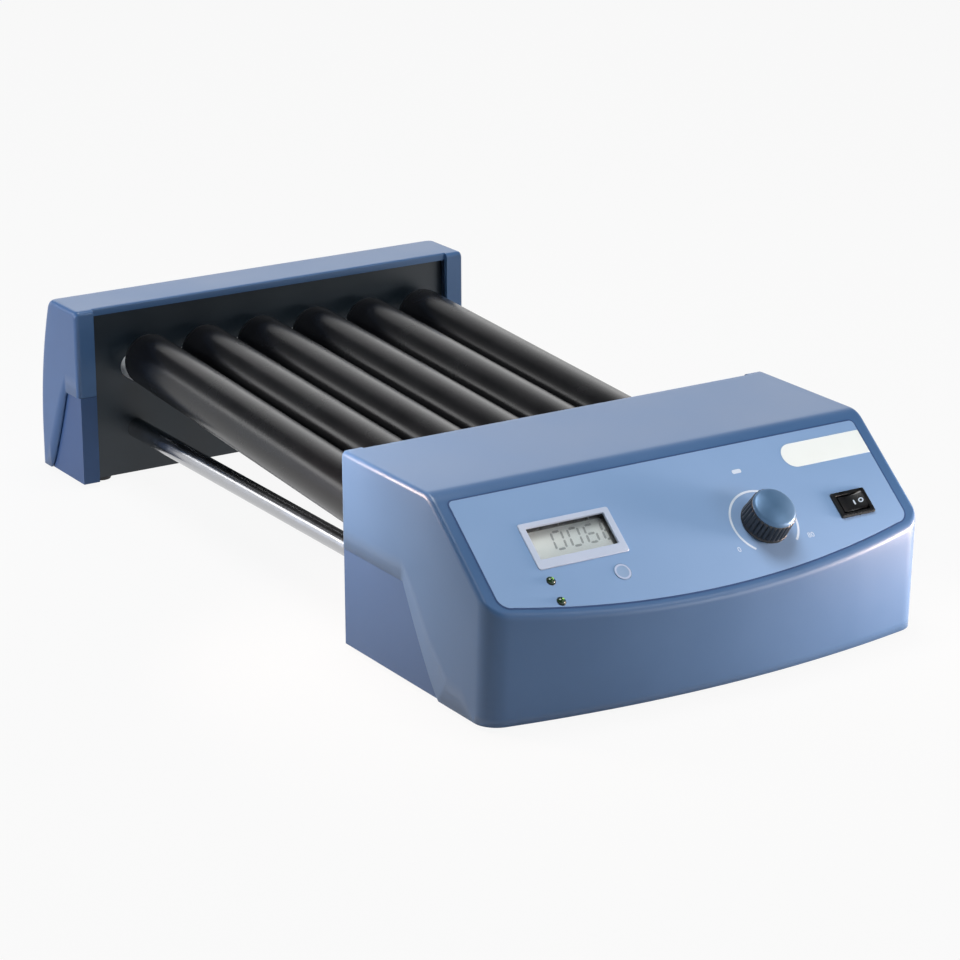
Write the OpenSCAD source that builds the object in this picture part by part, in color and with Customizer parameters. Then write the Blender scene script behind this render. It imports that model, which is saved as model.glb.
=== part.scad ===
// Rolling and rocking tube mixer. Six rollers on offset stub shafts turn together between a
// control housing and an end housing, which two steel rods tie together.
// X runs across the rollers, +Y from the control panel to the end housing, +Z up. The origin is
// on the table, under the middle of the machine. Lengths are in millimetres.

/* [Housings] */
// Width of both housings
body_w = 270; // [262:1:320]
// Height of both housings above their feet
housing_h = 107; // [102:1:125]
// Clear length of the roller bed, from post face to post face
bed_l = 315; // [220:5:420]
// Wall of the moulded covers and trays
skin = 2.5; // [2:0.1:3.5]
// Rounding along the edges of the covers
edge_r = 3; // [2:0.5:5]
// Width of the corner posts beside the dark panels
post_w = 12; // [9:0.5:16]
// Depth of the dark panels behind the post faces
recess = 7; // [5:0.5:10]
// Thickness of the cover's rim over the dark panels
rim_t = 4.4; // [3:0.2:7]
// Set-back of that rim behind the post faces
rim_set = 2.9; // [1:0.1:4]
// Height of the seam between cover and tray
seam_h = 54; // [46:1:58]
// Inset of the trays from the sides of the covers
tray_inset = 1.5; // [0.5:0.1:2]
// Gap between pieces that slip together
fit_gap = 0.3; // [0.2:0.05:0.5]

/* [Control housing] */
// Depth of the flat top, up to the fold
fold_d = 87.5; // [82:0.5:100]
// Slope of the control panel
slope_a = 39.5; // [32:0.5:41]
// Rounding of the fold
fold_r = 16; // [8:1:24]
// Depth of the front wall at its corners
box_d = 143.5; // [138:0.5:160]
// How far the front wall bows out in the middle
bow = 11.5; // [5:0.5:16]
// Forward lean of the front wall
lean = 2.5; // [0:0.5:4]
// Rounding of the upright front corners
front_r = 13; // [8:1:20]
// Length of the level part of the seam
seam_flat = 62; // [50:1:70]
// Where the seam comes down to the table side
seam_foot = 96; // [90:1:104]

/* [End housing] */
// Depth at the bottom
end_d = 57; // [50:1:80]
// Radius of the curved back
end_back_r = 240; // [200:5:400]
// Rounding between the top and the back
end_round = 8; // [4:1:12]
// Rounding of the upright back corners
end_corner_r = 6; // [4:0.5:10]
// Length of the level part of the seam
end_seam_flat = 18; // [12:1:22]
// Where the seam comes down
end_seam_foot = 43; // [32:1:46]

/* [Rollers] */
// Outside diameter of a roller
roller_d = 32; // [28:1:34]
// Gap between neighbouring rollers
roller_gap = 6; // [4:0.5:8]
// Wall of the roller tube
roller_wall = 2; // [1.5:0.25:2.5]
// Height of the turning axes above the housing's underside
axis_h = 67; // [64:1:70]
// Offset of the stub shafts from the middle of the tube's ends
throw = 8; // [4:0.5:9]
// Turn of the rollers at rest: 0 has their far ends straight up, more leans them to the right
phase = 42; // [0:1:90]
// Distance from a tube's end to the post face
roller_end_gap = 5; // [4:0.5:9]
// Diameter of the stub shafts
shaft_d = 8; // [6:0.5:9]
// Depth of the end plugs inside the tubes
plug_l = 14; // [8:1:24]
// Thickness of the plug's end disc
plug_lip = 1.5; // [1:0.25:2.5]

/* [Tie rods] */
// Diameter of the tie rods
rod_d = 12; // [8:0.5:14]
// Distance of the rods from the sides of the housings
rod_in = 41; // [38:1:46]
// Height of the rods above the housing's underside
rod_h = 27.5; // [22:0.5:30]
// Depth of the sockets that hold the rods
rod_socket = 10; // [6:1:14]
// Wall around the rod in its socket
rod_socket_wall = 4; // [3:0.5:5]
// Diameter of the screws into the rod ends
rod_screw_d = 6; // [4:0.5:6]

/* [Bearings and drive] */
// Thickness of the dark bearing panels
panel_t = 4; // [3:0.5:6]
// Diameter of the collar on each bush
bush_flange_d = 16; // [15:0.5:22]
// Space between a collar and the end of its roller
collar_gap = 2; // [1.5:0.5:6]
// Wall of each bush
bush_wall = 2; // [1.5:0.25:3]
// Length of bush behind its panel
bush_tail = 3; // [1:0.5:3.5]
// Running clearance of shafts, on the radius
run_gap = 0.05; // [0.02:0.01:0.1]
// Diameter of the belt seat on the pulleys
pulley_d = 22; // [18:1:24]
// Height of the pulley flanges over the belt seat
pulley_rim = 2; // [1.5:0.5:3]
// Thickness of each pulley flange
pulley_flange_t = 0.8; // [0.6:0.1:0.9]
// Width of the belts
belt_w = 6; // [4:0.5:8]
// Thickness of the belts
belt_t = 1.3; // [1:0.1:1.8]
// Space between neighbouring belts
belt_gap = 2; // [2:0.25:4]
// Thickness of the inner drive plate
plate_t = 5; // [4:0.5:8]
// Outside diameter of the ball bearings
bearing_d = 16; // [14:0.5:19]
// Drop from the roller axes to the motor's axis
motor_drop = 38; // [34:1:40]
// Diameter of the gearbox
gearbox_d = 37; // [32:1:38]
// Length of the gearbox
gearbox_l = 26; // [18:1:32]
// Diameter of the motor
motor_d = 33; // [26:1:34]
// Length of the motor
motor_l = 42; // [30:1:48]
// Diameter of the gearbox's output shaft
motor_shaft_d = 6; // [5:0.5:8]

/* [Control panel] */
// Thickness of the light overlay, let in flush
overlay_t = 0.8; // [0.5:0.1:1.2]
// Border between the overlay and the sides
overlay_side = 8.5; // [6:0.5:14]
// Border between the overlay and the front lip
overlay_lip = 5; // [4:0.5:8]
// Distance from the fold to the overlay
overlay_top = 6; // [5:0.5:10]
// Rounding of the overlay's lower corners
overlay_r = 7; // [3:0.5:10]
// Display: distance of its middle from the left side
display_in = 65.7; // [58:0.1:72]
// Display: distance down the slope
display_s = 40.7; // [34:0.1:46]
// Width of the display's frame
display_w = 54.2; // [44:0.1:60]
// Height of the display's frame
display_h = 27.4; // [22:0.1:32]
// Border of the display's frame
display_rim = 3.7; // [2.5:0.1:5]
// Lower sill of the display's frame
display_sill = 5.2; // [3.5:0.1:6]
// Lamps: distance from the left side
lamp_in = 42; // [36:0.5:50]
// First lamp: distance down the slope
lamp_s = 61.4; // [57:0.1:64]
// Step from the first lamp to the second
lamp_step = 12.2; // [8:0.1:14]
// Diameter of the lamps
lamp_d = 4.6; // [3:0.2:6]
// Key: distance from the left side
key_in = 83; // [76:0.5:88]
// Key: distance down the slope
key_s = 65; // [62:0.5:68]
// Diameter of the key
key_d = 9.2; // [7:0.2:12]
// Travel of the key
key_travel = 0.5; // [0.3:0.1:1]
// Knob: distance from the right side
knob_in = 93.5; // [84:0.5:98]
// Knob: distance down the slope
knob_s = 54.8; // [48:0.1:58]
// Diameter of the knob at its foot
knob_d = 26.6; // [24:0.2:30]
// Diameter of the knob at its shoulder
knob_top_d = 25.2; // [19:0.2:26]
// Height of the knob's grip
knob_h = 13; // [11:0.5:18]
// Rise of the knob's domed cap
knob_dome = 3.5; // [2:0.5:5]
// Switch: distance from the right side
switch_in = 36.6; // [31:0.1:42]
// Switch: distance down the slope
switch_s = 55; // [48:0.5:58]
// Width of the switch's frame
switch_w = 21.8; // [19:0.2:24]
// Height of the switch's frame
switch_h = 15.3; // [13:0.1:18]
// Tilt of the rocker to either side
rocker_tilt = 8; // [5:1:10]

/* [Feet, screws and electrics] */
// Diameter of the rubber feet
foot_d = 14; // [10:1:20]
// Height of the rubber feet
foot_h = 3; // [3:0.5:8]
// Distance of the feet from the sides
foot_in = 20; // [17:1:26]
// Diameter of the cover screws
screw_d = 3; // [2.5:0.5:4]
// Length of the cover screws
screw_l = 14; // [10:1:18]
// Height of their heads
screw_head = 1.8; // [1.2:0.1:2.4]
// Wall of the screw bosses
boss_wall = 2.5; // [2:0.25:3]
// Distance of the screw bosses from the sides
boss_in = 16; // [14:1:20]
// Mains inlet: distance from the post face
inlet_back = 25; // [23:0.5:27]
// Mains inlet: height of its middle above the underside
inlet_up = 27; // [24:0.5:30]
// Width of the inlet's opening
inlet_w = 24; // [22:0.5:26]
// Height of the inlet's opening
inlet_h = 16.5; // [15:0.5:18]
// Thickness of the circuit boards
board_t = 1.6; // [1:0.2:2.4]
// Height of the board pillars
pillar_h = 6; // [4:0.5:9]

/* [Hidden] */
$fn = 48;

roller_n = 6;
driven_roller = 3;
pitch = roller_d + roller_gap;

// The lip is the line where the slope meets the leaning front wall.
front_mid = box_d + bow;
lip_d = (front_mid + (housing_h + fold_d * tan(slope_a)) * tan(lean))
        / (1 + tan(slope_a) * tan(lean));
length = lip_d + bed_l + end_d;
box_y = lip_d - length / 2;              // post face of the control housing
end_y = box_y + bed_l;                   // post face of the end housing
bed_y = box_y + bed_l / 2;               // middle of the roller bed
top_z = foot_h + housing_h;
axis_z = foot_h + axis_h;
bow_half = body_w / 2 - front_r;
bow_r = (bow_half * bow_half + bow * bow) / (2 * bow);

tube_l = bed_l - 2 * roller_end_gap;
tube_tilt = asin(2 * throw / tube_l);
bush_d = shaft_d + 2 * bush_wall;
bush_flange_t = recess + roller_end_gap - plug_lip - collar_gap;
panel_back = recess + panel_t;
belt_step = belt_w + belt_gap;
first_belt = panel_back + bush_tail + 2; // nearest edge of the first belt, from the post face
plate_d = first_belt + 3 * belt_step;    // near face of the drive plate
plate_half = 2.5 * pitch + bearing_d / 2 + 2;
rod_x = body_w / 2 - rod_in;
motor_z = axis_z - motor_drop;
opening_half = body_w / 2 - post_w;
display_x = body_w / 2 - display_in;
lamp_x = body_w / 2 - lamp_in;
key_x = body_w / 2 - key_in;
knob_x = body_w / 2 - knob_in;
switch_x = body_w / 2 - switch_in;
panel_half = body_w / 2 - tray_inset - skin - fit_gap;
boss_d = screw_d + 2 * boss_wall;
plug_d = roller_d - 2 * roller_wall;
key_hole_d = key_d + 2 * fit_gap;

big = 400;                               // longer than any piece, for cutting

function roller_x(i) = (i - (roller_n + 1) / 2) * pitch;
function arc(c, r, a0, a1, n) =
    [for (i = [0:n]) let (a = a0 + (a1 - a0) * i / n) [c[0] + r * cos(a), c[1] + r * sin(a)]];

// Side outline of the control housing. g is the inset of its faces, back that of its post face.
function control_side(g, back) =
    let (c = [-(fold_d - fold_r * tan(slope_a / 2)), housing_h - fold_r],
         fold = arc(c, fold_r - g, 90, 90 + slope_a, 8),
         last = fold[8],
         drop = last[1] + 30)
    concat([[-back, -30], [-back, housing_h - g]], fold,
           [[last[0] - drop / tan(slope_a), -30]]);

// Plan of the control housing, with its bowed front and rounded front corners.
function control_plan(g) =
    let (cy = bow_r - front_mid,
         ky = cy - sqrt(pow(bow_r - front_r, 2) - pow(bow_half, 2)),
         a = -90 + asin(bow_half / (bow_r - front_r)),
         right = arc([bow_half, ky], front_r - g, 0, a, 8),
         front = arc([0, cy], bow_r - g, a, -180 - a, 24),
         left = arc([-bow_half, ky], front_r - g, -180 - a, -180, 8))
    concat([[body_w / 2 - g, 60]], right, front, left, [[g - body_w / 2, 60]]);

// Front view of either housing: a rectangle with rounded upper corners, its top edge at y = 0.
function crown(g) =
    let (r = max(edge_r - g, 0.5), x = body_w / 2 - g - r, y = -g - r)
    concat([[body_w / 2 - g, -big]], arc([x, y], r, 0, 90, 4), arc([-x, y], r, 90, 180, 4),
           [[g - body_w / 2, -big]]);

// Side outline of the end housing, with a curved back.
function end_side(g, front) =
    let (b = [end_d - end_back_r, 20],
         rise = housing_h - end_round - b[1],
         c = [b[0] + sqrt(pow(end_back_r - end_round, 2) - rise * rise), housing_h - end_round],
         a = atan2(rise, c[0] - b[0]))
    concat([[front, -30], [front, housing_h - g]], arc(c, end_round - g, 90, a, 6),
           arc(b, end_back_r - g, a, 0, 10), [[end_d - g, -30]]);

function end_plan(g) =
    let (x = body_w / 2 - end_corner_r, y = end_d - end_corner_r)
    concat([[body_w / 2 - g, -60]], arc([x, y], end_corner_r - g, 0, 90, 6),
           arc([-x, y], end_corner_r - g, 90, 180, 6), [[g - body_w / 2, -60]]);

// Height of the falling part of a seam, as a share of seam_h, for t from 0 to 1.
function seam(flat, foot, rise) =
    [for (i = [0:8]) let (t = i / 8) [flat + (foot - flat) * t, (seam_h - rise) * pow(1 - t, 1.2)]];

// Distance down the slope from the fold to the lip, at x.
function lip_s(x) = (lip_d - bow_r + sqrt(bow_r * bow_r - x * x) - fold_d) / cos(slope_a);

module control_frame() translate([0, box_y, foot_h]) children();
module end_frame() translate([0, end_y, foot_h]) children();
module across(points) rotate([90, 0, 90]) linear_extrude(big, center = true) polygon(points);

// Places children on the slope: x across, s down from the fold, h out of the surface.
module on_slope(x, s, h = 0)
    translate([0, box_y - fold_d, top_z]) rotate([slope_a, 0, 0]) translate([x, -s, h]) children();

module box(w, d, h, r = 0) {
    if (r > 0) linear_extrude(h) round_rect(w, d, r);
    else translate([-w / 2, -d / 2, 0]) cube([w, d, h]);
}

module round_rect(w, d, r) {
    square([w - 2 * r, d], center = true);
    square([w, d - 2 * r], center = true);
    for (sx = [-1, 1], sy = [-1, 1])
        translate([sx * (w / 2 - r), sy * (d / 2 - r)]) circle(r);
}

// A cylinder lying along +Y, from y = a to y = b.
module along_y(x, a, b, z, d)
    translate([x, a, z]) rotate([-90, 0, 0]) cylinder(h = b - a, d = d);

module ring_y(x, a, b, z, outer, inner)
    difference() {
        along_y(x, a, b, z, outer);
        along_y(x, a - 1, b + 1, z, inner);
    }

// The closed outer form of the control housing, all faces moved in by g.
module control_form(g, back)
    intersection() {
        control_frame() across(control_side(g, back));
        translate([0, box_y - front_mid, foot_h]) rotate([lean, 0, 0])
            translate([0, front_mid, -20]) linear_extrude(200) polygon(control_plan(g));
        translate([0, box_y + 60, top_z]) rotate([90, 0, 0]) linear_extrude(big) polygon(crown(g));
        on_slope(0, 0) rotate([90, 0, 0]) translate([0, 0, -big / 2]) linear_extrude(big)
            polygon(crown(g));
        translate([-big / 2, -big, foot_h]) cube([big, 2 * big, big]);
    }

module end_form(g, front)
    intersection() {
        end_frame() across(end_side(g, front));
        end_frame() translate([0, 0, -20]) linear_extrude(200) polygon(end_plan(g));
        translate([0, end_y + big / 2, top_z]) rotate([90, 0, 0]) linear_extrude(big)
            polygon(crown(g));
        translate([-big / 2, -big, foot_h]) cube([big, 2 * big, big]);
    }

// Everything below a seam: the part of a housing's sides that belongs to its tray.
module below_seam(flat, foot, rise = 0)
    across(concat([[-20, -30], [-20, seam_h - rise]], seam(flat, foot, rise),
                  [[foot, -30]]));

module control_below(rise = 0)
    control_frame() mirror([0, 1, 0]) below_seam(seam_flat - rise, seam_foot - 2 * rise, rise);
module end_below(rise = 0)
    end_frame() below_seam(end_seam_flat - rise, end_seam_foot - 2 * rise, rise);

// The gap between a housing's posts, and the set-back of the rim over it. dir is the way inwards.
module post_gap(y, dir) {
    reach = recess + 1;
    translate([-opening_half, dir > 0 ? y - 1 : y - recess, foot_h - 1])
        cube([2 * opening_half, reach, housing_h - rim_t + 1]);
    translate([-opening_half, dir > 0 ? y - 1 : y - rim_set, foot_h])
        cube([2 * opening_half, rim_set + 1, housing_h + 1]);
}

// Slot in a tray's floor, in which its bearing panel stands.
module panel_slot(y, dir)
    translate([-panel_half - fit_gap, dir > 0 ? y + recess : y - panel_back, foot_h - 1])
        cube([2 * (panel_half + fit_gap), panel_t, skin + 1 + fit_gap]);

// Screw bosses: x, and distance from the post face.
control_bosses = [for (sx = [-1, 1], d = [plate_d + plate_t + 12, box_d - 30])
                  [sx * (body_w / 2 - boss_in), box_y - d]];
end_feet = [recess + foot_d / 2 + 2, end_d - foot_d / 2 - 4];
end_bosses = [for (sx = [-1, 1])
              [sx * (body_w / 2 - boss_in), end_y + (end_feet[0] + end_feet[1]) / 2]];

module boss(p)
    translate([p[0], p[1], foot_h + skin]) cylinder(h = housing_h, d = boss_d);
module boss_hole(p)
    translate([p[0], p[1], foot_h]) cylinder(h = screw_l + 2, d = screw_d);

module control_cover() color("#5a7093") {
    difference() {
        union() {
            difference() {
                control_form(0, 0);
                control_form(skin, recess);
                translate([0, 0, -skin - 1]) control_form(skin, recess);
                post_gap(box_y, -1);
                control_below();
            }
            intersection() {
                for (p = control_bosses) boss(p);
                control_form(skin / 2, recess);
            }
        }
        for (p = control_bosses) boss_hole(p);
        on_slope(0, 0, -overlay_t) linear_extrude(overlay_t + 1) overlay_outline(0);
        on_slope(-display_x, display_s, -20)
            box(display_w - 2 * fit_gap, display_h - 2 * fit_gap, 30);
        for (i = [0, 1]) on_slope(-lamp_x, lamp_s + i * lamp_step, -20)
            cylinder(h = 30, d = lamp_d + 2 * fit_gap);
        on_slope(-key_x, key_s, -20) cylinder(h = 30, d = key_hole_d);
        on_slope(knob_x, knob_s, -20) cylinder(h = 30, d = pot_neck_d);
        on_slope(switch_x, switch_s, -20) box(switch_cut_w, switch_cut_h, 30);
    }
}

// Outline of the overlay on the slope. Its lower edge follows the lip.
module overlay_outline(g) {
    x = body_w / 2 - overlay_side - g;
    r = overlay_r - g;
    low = [for (i = [-10:10]) let (u = (x - r) * i / 10) [u, overlay_lip + g - lip_s(u)]];
    polygon(concat([[-x, -overlay_top - g], [-x, low[0][1] + r]],
                   arc([-x + r, low[0][1] + r], r, 180, 262, 6), low,
                   arc([x - r, low[20][1] + r], r, -82, 0, 6),
                   [[x, -overlay_top - g]]));
}

module control_overlay() color("#86a3cf")
    difference() {
        on_slope(0, 0, -overlay_t) linear_extrude(overlay_t) overlay_outline(fit_gap);
        on_slope(-display_x, display_s, -5)
            box(display_w - 2 * fit_gap, display_h - 2 * fit_gap, 10);
        for (i = [0, 1]) on_slope(-lamp_x, lamp_s + i * lamp_step, -5)
            cylinder(h = 10, d = lamp_d + 2 * fit_gap);
        on_slope(-key_x, key_s, -5) cylinder(h = 10, d = key_hole_d);
        on_slope(knob_x, knob_s, -5) cylinder(h = 10, d = pot_neck_d);
        on_slope(switch_x, switch_s, -5) box(switch_cut_w, switch_cut_h, 10);
    }

// Blank plate at the upper right of the overlay, with one round end.
plate_w = 50;
plate_h = 16;
plate_s = 18.5;
module name_plate() color("white")
    on_slope(body_w / 2 - overlay_side - fit_gap - 0.5 - plate_w, plate_s)
        linear_extrude(0.3) {
            translate([plate_h / 2, 0]) circle(plate_h / 2);
            translate([plate_h / 2, -plate_h / 2]) square([plate_w - plate_h / 2, plate_h]);
        }

tray_wall = skin;
module control_tray() color("#42597f")
    difference() {
        union() {
            difference() {
                intersection() {
                    control_form(tray_inset, 0);
                    control_below(fit_gap);
                }
                translate([0, 0, skin]) control_form(tray_inset + tray_wall, recess);
                post_gap(box_y, -1);
                panel_slot(box_y, -1);
            }
            intersection() {
                control_form(skin + fit_gap, panel_back);
                translate([-big / 2, box_y - big, foot_h]) cube([big, big - panel_back, skin]);
            }
        }
        for (p = control_bosses) translate([p[0], p[1], 0]) cylinder(h = 20, d = screw_d + 0.4);
        inlet_cut();
    }

// The inlet sits in the right-hand side of the tray.
inlet_face_x = body_w / 2 - tray_inset;
inlet_y = box_y - inlet_back;
inlet_z = foot_h + inlet_up;
inlet_wall = 1.5;
inlet_deep = 22;
module on_inlet(x) translate([inlet_face_x + x, inlet_y, inlet_z]) rotate([90, 0, 90]) children();
module inlet_cut()
    on_inlet(-30) box(inlet_w + 2 * inlet_wall + 2 * fit_gap,
                      inlet_h + 2 * inlet_wall + 2 * fit_gap, 40);

module power_inlet() color("#1c1d20")
    difference() {
        union() {
            on_inlet(0) box(inlet_w + 8, inlet_h + 8, 1.5 - fit_gap, 3);
            on_inlet(-inlet_deep)
                box(inlet_w + 2 * inlet_wall, inlet_h + 2 * inlet_wall, inlet_deep + 1);
        }
        on_inlet(2 - inlet_deep) box(inlet_w, inlet_h, inlet_deep + 2);
        for (x = [-7, 0, 7]) on_inlet(-inlet_deep - 1)
            translate([x, x == 0 ? 3 : -2.5, 0]) box(2, 4, 5);
    }

module inlet_pins() color("silver")
    for (x = [-7, 0, 7]) on_inlet(-inlet_deep - 6)
        translate([x, x == 0 ? 3 : -2.5, 0]) box(2, 4, inlet_deep);

// A dark panel that carries six bushes and the tie rods. dir is the way from the bed inwards.
module bearing_panel(y, dir) {
    near = dir > 0 ? y + recess : y - panel_back;
    tail = dir > 0 ? y + recess : y - panel_back - rod_socket;
    difference() {
        union() {
            translate([-panel_half, near, foot_h])
                cube([2 * panel_half, panel_t, housing_h - skin - fit_gap]);
            for (sx = [-1, 1])
                along_y(sx * rod_x, tail, tail + panel_t + rod_socket, foot_h + rod_h,
                        rod_d + 2 * rod_socket_wall);
        }
        for (i = [1:roller_n])
            along_y(roller_x(i), near - 1, near + panel_t + 1, axis_z, bush_d);
        for (sx = [-1, 1]) {
            along_y(sx * rod_x, dir > 0 ? near - 1 : tail + rod_socket / 2,
                    dir > 0 ? near + panel_t + rod_socket / 2 : near + panel_t + 1,
                    foot_h + rod_h, rod_d);
            along_y(sx * rod_x, tail - 1, tail + panel_t + rod_socket + 1, foot_h + rod_h,
                    rod_screw_d);
        }
    }
}

module control_bearing_panel() color("#26333f")
    difference() {
        bearing_panel(box_y, -1);
        for (p = pillars) along_y(p[0], box_y - panel_back - 1, box_y - panel_back + 2.5, p[1], 3);
    }
module end_bearing_panel() color("#26333f") bearing_panel(end_y, 1);

// A bush with a collar on the bed's side of its panel, which keeps the roller's end away from it.
module bush(x, y, dir) {
    face = y + dir * recess;
    a = dir > 0 ? face : face - panel_t - bush_tail;
    difference() {
        union() {
            along_y(x, a, a + panel_t + bush_tail, axis_z, bush_d);
            along_y(x, dir > 0 ? face - bush_flange_t : face,
                    dir > 0 ? face : face + bush_flange_t, axis_z, bush_flange_d);
        }
        along_y(x, y - 60, y + 60, axis_z, shaft_d + 2 * run_gap);
    }
}
module control_bushes() color("#d8dadc") for (i = [1:roller_n]) bush(roller_x(i), box_y, -1);
module end_bushes() color("#d8dadc") for (i = [1:roller_n]) bush(roller_x(i), end_y, 1);

// Tie rods reach half way into their sockets at both ends.
module tie_rod(sx) {
    reach = panel_back + rod_socket / 2;
    difference() {
        along_y(sx * rod_x, box_y - reach, end_y + reach, foot_h + rod_h, rod_d);
        for (y = [box_y - reach - 1, end_y + reach - 15])
            along_y(sx * rod_x, y, y + 16, foot_h + rod_h, rod_screw_d);
    }
}
module left_tie_rod() color("#c9ccd0") tie_rod(-1);
module right_tie_rod() color("#c9ccd0") tie_rod(1);

module rod_screws() color("#9a9da1")
    for (sx = [-1, 1], dir = [-1, 1]) {
        y = dir > 0 ? end_y + panel_back + rod_socket : box_y - panel_back - rod_socket;
        reach = rod_socket / 2 + 12;
        along_y(sx * rod_x, dir > 0 ? y - reach : y, dir > 0 ? y : y + reach, foot_h + rod_h,
                rod_screw_d);
        difference() {
            along_y(sx * rod_x, dir > 0 ? y : y - 5, dir > 0 ? y + 5 : y, foot_h + rod_h,
                    rod_screw_d * 1.6);
            along_y(sx * rod_x, dir > 0 ? y + 2.5 : y - 6, dir > 0 ? y + 6 : y - 2.5,
                    foot_h + rod_h, rod_screw_d * 0.8, $fn = 6);
        }
    }

// Rollers: a tube that leans a little, because its two shafts are offset to opposite sides.
module tube_axis(i)
    translate([roller_x(i), bed_y, axis_z]) rotate([0, phase, 0]) rotate([tube_tilt, 0, 0])
        rotate([-90, 0, 0]) children();

module roller_tube(i) color("#1d1f22")
    tube_axis(i) difference() {
        cylinder(h = tube_l, d = roller_d, center = true, $fn = 96);
        cylinder(h = tube_l + 2, d = plug_d, center = true, $fn = 96);
    }

// End plugs with offset stub shafts. The shaft on the drive side carries the belt pulley.
module roller_shafts(i) color("#6d7278") {
    inner = bed_l / 2 - roller_end_gap - plug_l + 3;
    drive_end = bed_l / 2 + plate_d + plate_t;
    free_end = bed_l / 2 + panel_back + bush_tail + 4;
    for (dir = [-1, 1]) {
        tube_axis(i) {
            translate([0, 0, dir * (tube_l / 2 - plug_l / 2)])
                cylinder(h = plug_l, d = plug_d, center = true);
            translate([0, 0, dir * (tube_l / 2 + plug_lip / 2)])
                cylinder(h = plug_lip, d = roller_d - 1, center = true);
        }
        along_y(roller_x(i), dir > 0 ? bed_y + inner : bed_y - drive_end,
                dir > 0 ? bed_y + free_end : bed_y - inner, axis_z, shaft_d);
    }
    collar = end_y + panel_back + bush_tail + fit_gap;
    along_y(roller_x(i), collar, collar + 2, axis_z, bush_d);
    pulley(roller_x(i), axis_z, 0, i == driven_roller ? 2 : 1);
}

// Pulley with one seat for each belt plane from first to last.
module pulley(x, z, first, last) {
    y0 = box_y - first_belt - first * belt_step;
    y1 = box_y - first_belt - last * belt_step - belt_w;
    along_y(x, y1 - fit_gap, y0 + fit_gap, z, pulley_d);
    for (k = [first:last], e = [0, 1]) {
        y = box_y - first_belt - k * belt_step - e * belt_w + (e == 0 ? fit_gap : -fit_gap);
        along_y(x, e == 0 ? y : y - pulley_flange_t, e == 0 ? y + pulley_flange_t : y, z,
                pulley_d + 2 * pulley_rim);
    }
}

// A belt is a flat loop round two equal pulleys, a hair off its seats so that they turn freely.
belt_off = 0.12;
module stadium(a, b, r) {
    d = b - a;
    translate(a) circle(r, $fn = 96);
    translate(b) circle(r, $fn = 96);
    translate(a) rotate(atan2(d[1], d[0])) translate([0, -r]) square([norm(d), 2 * r]);
}
module belt(a, b, plane)
    translate([0, box_y - first_belt - plane * belt_step, 0]) rotate([90, 0, 0])
        linear_extrude(belt_w) difference() {
            stadium(a, b, pulley_d / 2 + belt_off + belt_t);
            stadium(a, b, pulley_d / 2 + belt_off);
        }

module link_belts() color("#151515")
    for (i = [1:roller_n - 1])
        belt([roller_x(i), axis_z], [roller_x(i + 1), axis_z], (i + 1) % 2);
module motor_belt() color("#151515")
    belt([0, motor_z], [roller_x(driven_roller), axis_z], 2);

// Pillars between the bearing panel and the drive plate: x and height.
pillars = [for (sx = [-1, 1]) each [[sx * 2 * pitch, axis_z - pulley_d / 2 - pulley_rim - 9],
                                    [sx * 1.5 * pitch, foot_h + skin + 12]]];

module plate_pillars() color("#b9bcbf")
    for (p = pillars) {
        along_y(p[0], box_y - plate_d, box_y - panel_back, p[1], 8);
        along_y(p[0], box_y - plate_d - plate_t, box_y - plate_d, p[1], 3);
        along_y(p[0], box_y - panel_back, box_y - panel_back + 2.5, p[1], 3);
        along_y(p[0], box_y - plate_d - plate_t - 2, box_y - plate_d - plate_t, p[1], 6);
    }

module drive_plate() color("#a8acb0")
    difference() {
        translate([-plate_half, box_y - plate_d - plate_t, foot_h + skin + 4])
            cube([2 * plate_half, plate_t, axis_h + bearing_d / 2 + 3 - skin - 4]);
        for (i = [1:roller_n])
            along_y(roller_x(i), box_y - plate_d - plate_t - 1, box_y - plate_d + 1, axis_z,
                    bearing_d);
        along_y(0, box_y - plate_d - plate_t - 1, box_y - plate_d + 1, motor_z,
                motor_shaft_d + 7);
        for (p = pillars)
            along_y(p[0], box_y - plate_d - plate_t - 1, box_y - plate_d + 1, p[1], 3);
        for (p = motor_holes) {
            along_y(p[0], box_y - plate_d - plate_t - 1, box_y - plate_d + 1, p[1], 3);
            along_y(p[0], box_y - plate_d - motor_head, box_y - plate_d + 1, p[1], 6);
        }
    }

module shaft_bearings() color("#cfd2d5")
    for (i = [1:roller_n])
        ring_y(roller_x(i), box_y - plate_d - plate_t, box_y - plate_d, axis_z, bearing_d,
               shaft_d + 2 * run_gap);

// Gear motor, screwed to the drive plate.
gearbox_y = box_y - plate_d - plate_t;
motor_holes = [for (a = [45:90:315]) [gearbox_d * 0.4 * cos(a), motor_z + gearbox_d * 0.4 * sin(a)]];
motor_head = 1.6;                        // screw heads, let into the drive plate
shaft_seat = 8;
module gear_motor() color("#8d9094")
    difference() {
        union() {
            along_y(0, gearbox_y - gearbox_l, gearbox_y, motor_z, gearbox_d);
            along_y(0, gearbox_y - gearbox_l - motor_l, gearbox_y - gearbox_l, motor_z, motor_d);
            along_y(0, gearbox_y - gearbox_l - motor_l - 3, gearbox_y - gearbox_l - motor_l,
                    motor_z, motor_d * 0.4);
        }
        along_y(0, gearbox_y - shaft_seat, gearbox_y + 1, motor_z, motor_shaft_d + 2 * run_gap);
        for (p = motor_holes) along_y(p[0], gearbox_y - 6, gearbox_y + 1, p[1], 3);
    }

module motor_screws() color("#3a3c40")
    for (p = motor_holes) {
        along_y(p[0], gearbox_y - 6, gearbox_y + plate_t, p[1], 3);
        along_y(p[0], gearbox_y + plate_t - motor_head, gearbox_y + plate_t, p[1], 6);
    }

module motor_shaft() color("#c9ccd0")
    along_y(0, gearbox_y - shaft_seat + 1, box_y - first_belt - 2 * belt_step + 2, motor_z,
            motor_shaft_d);

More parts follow.
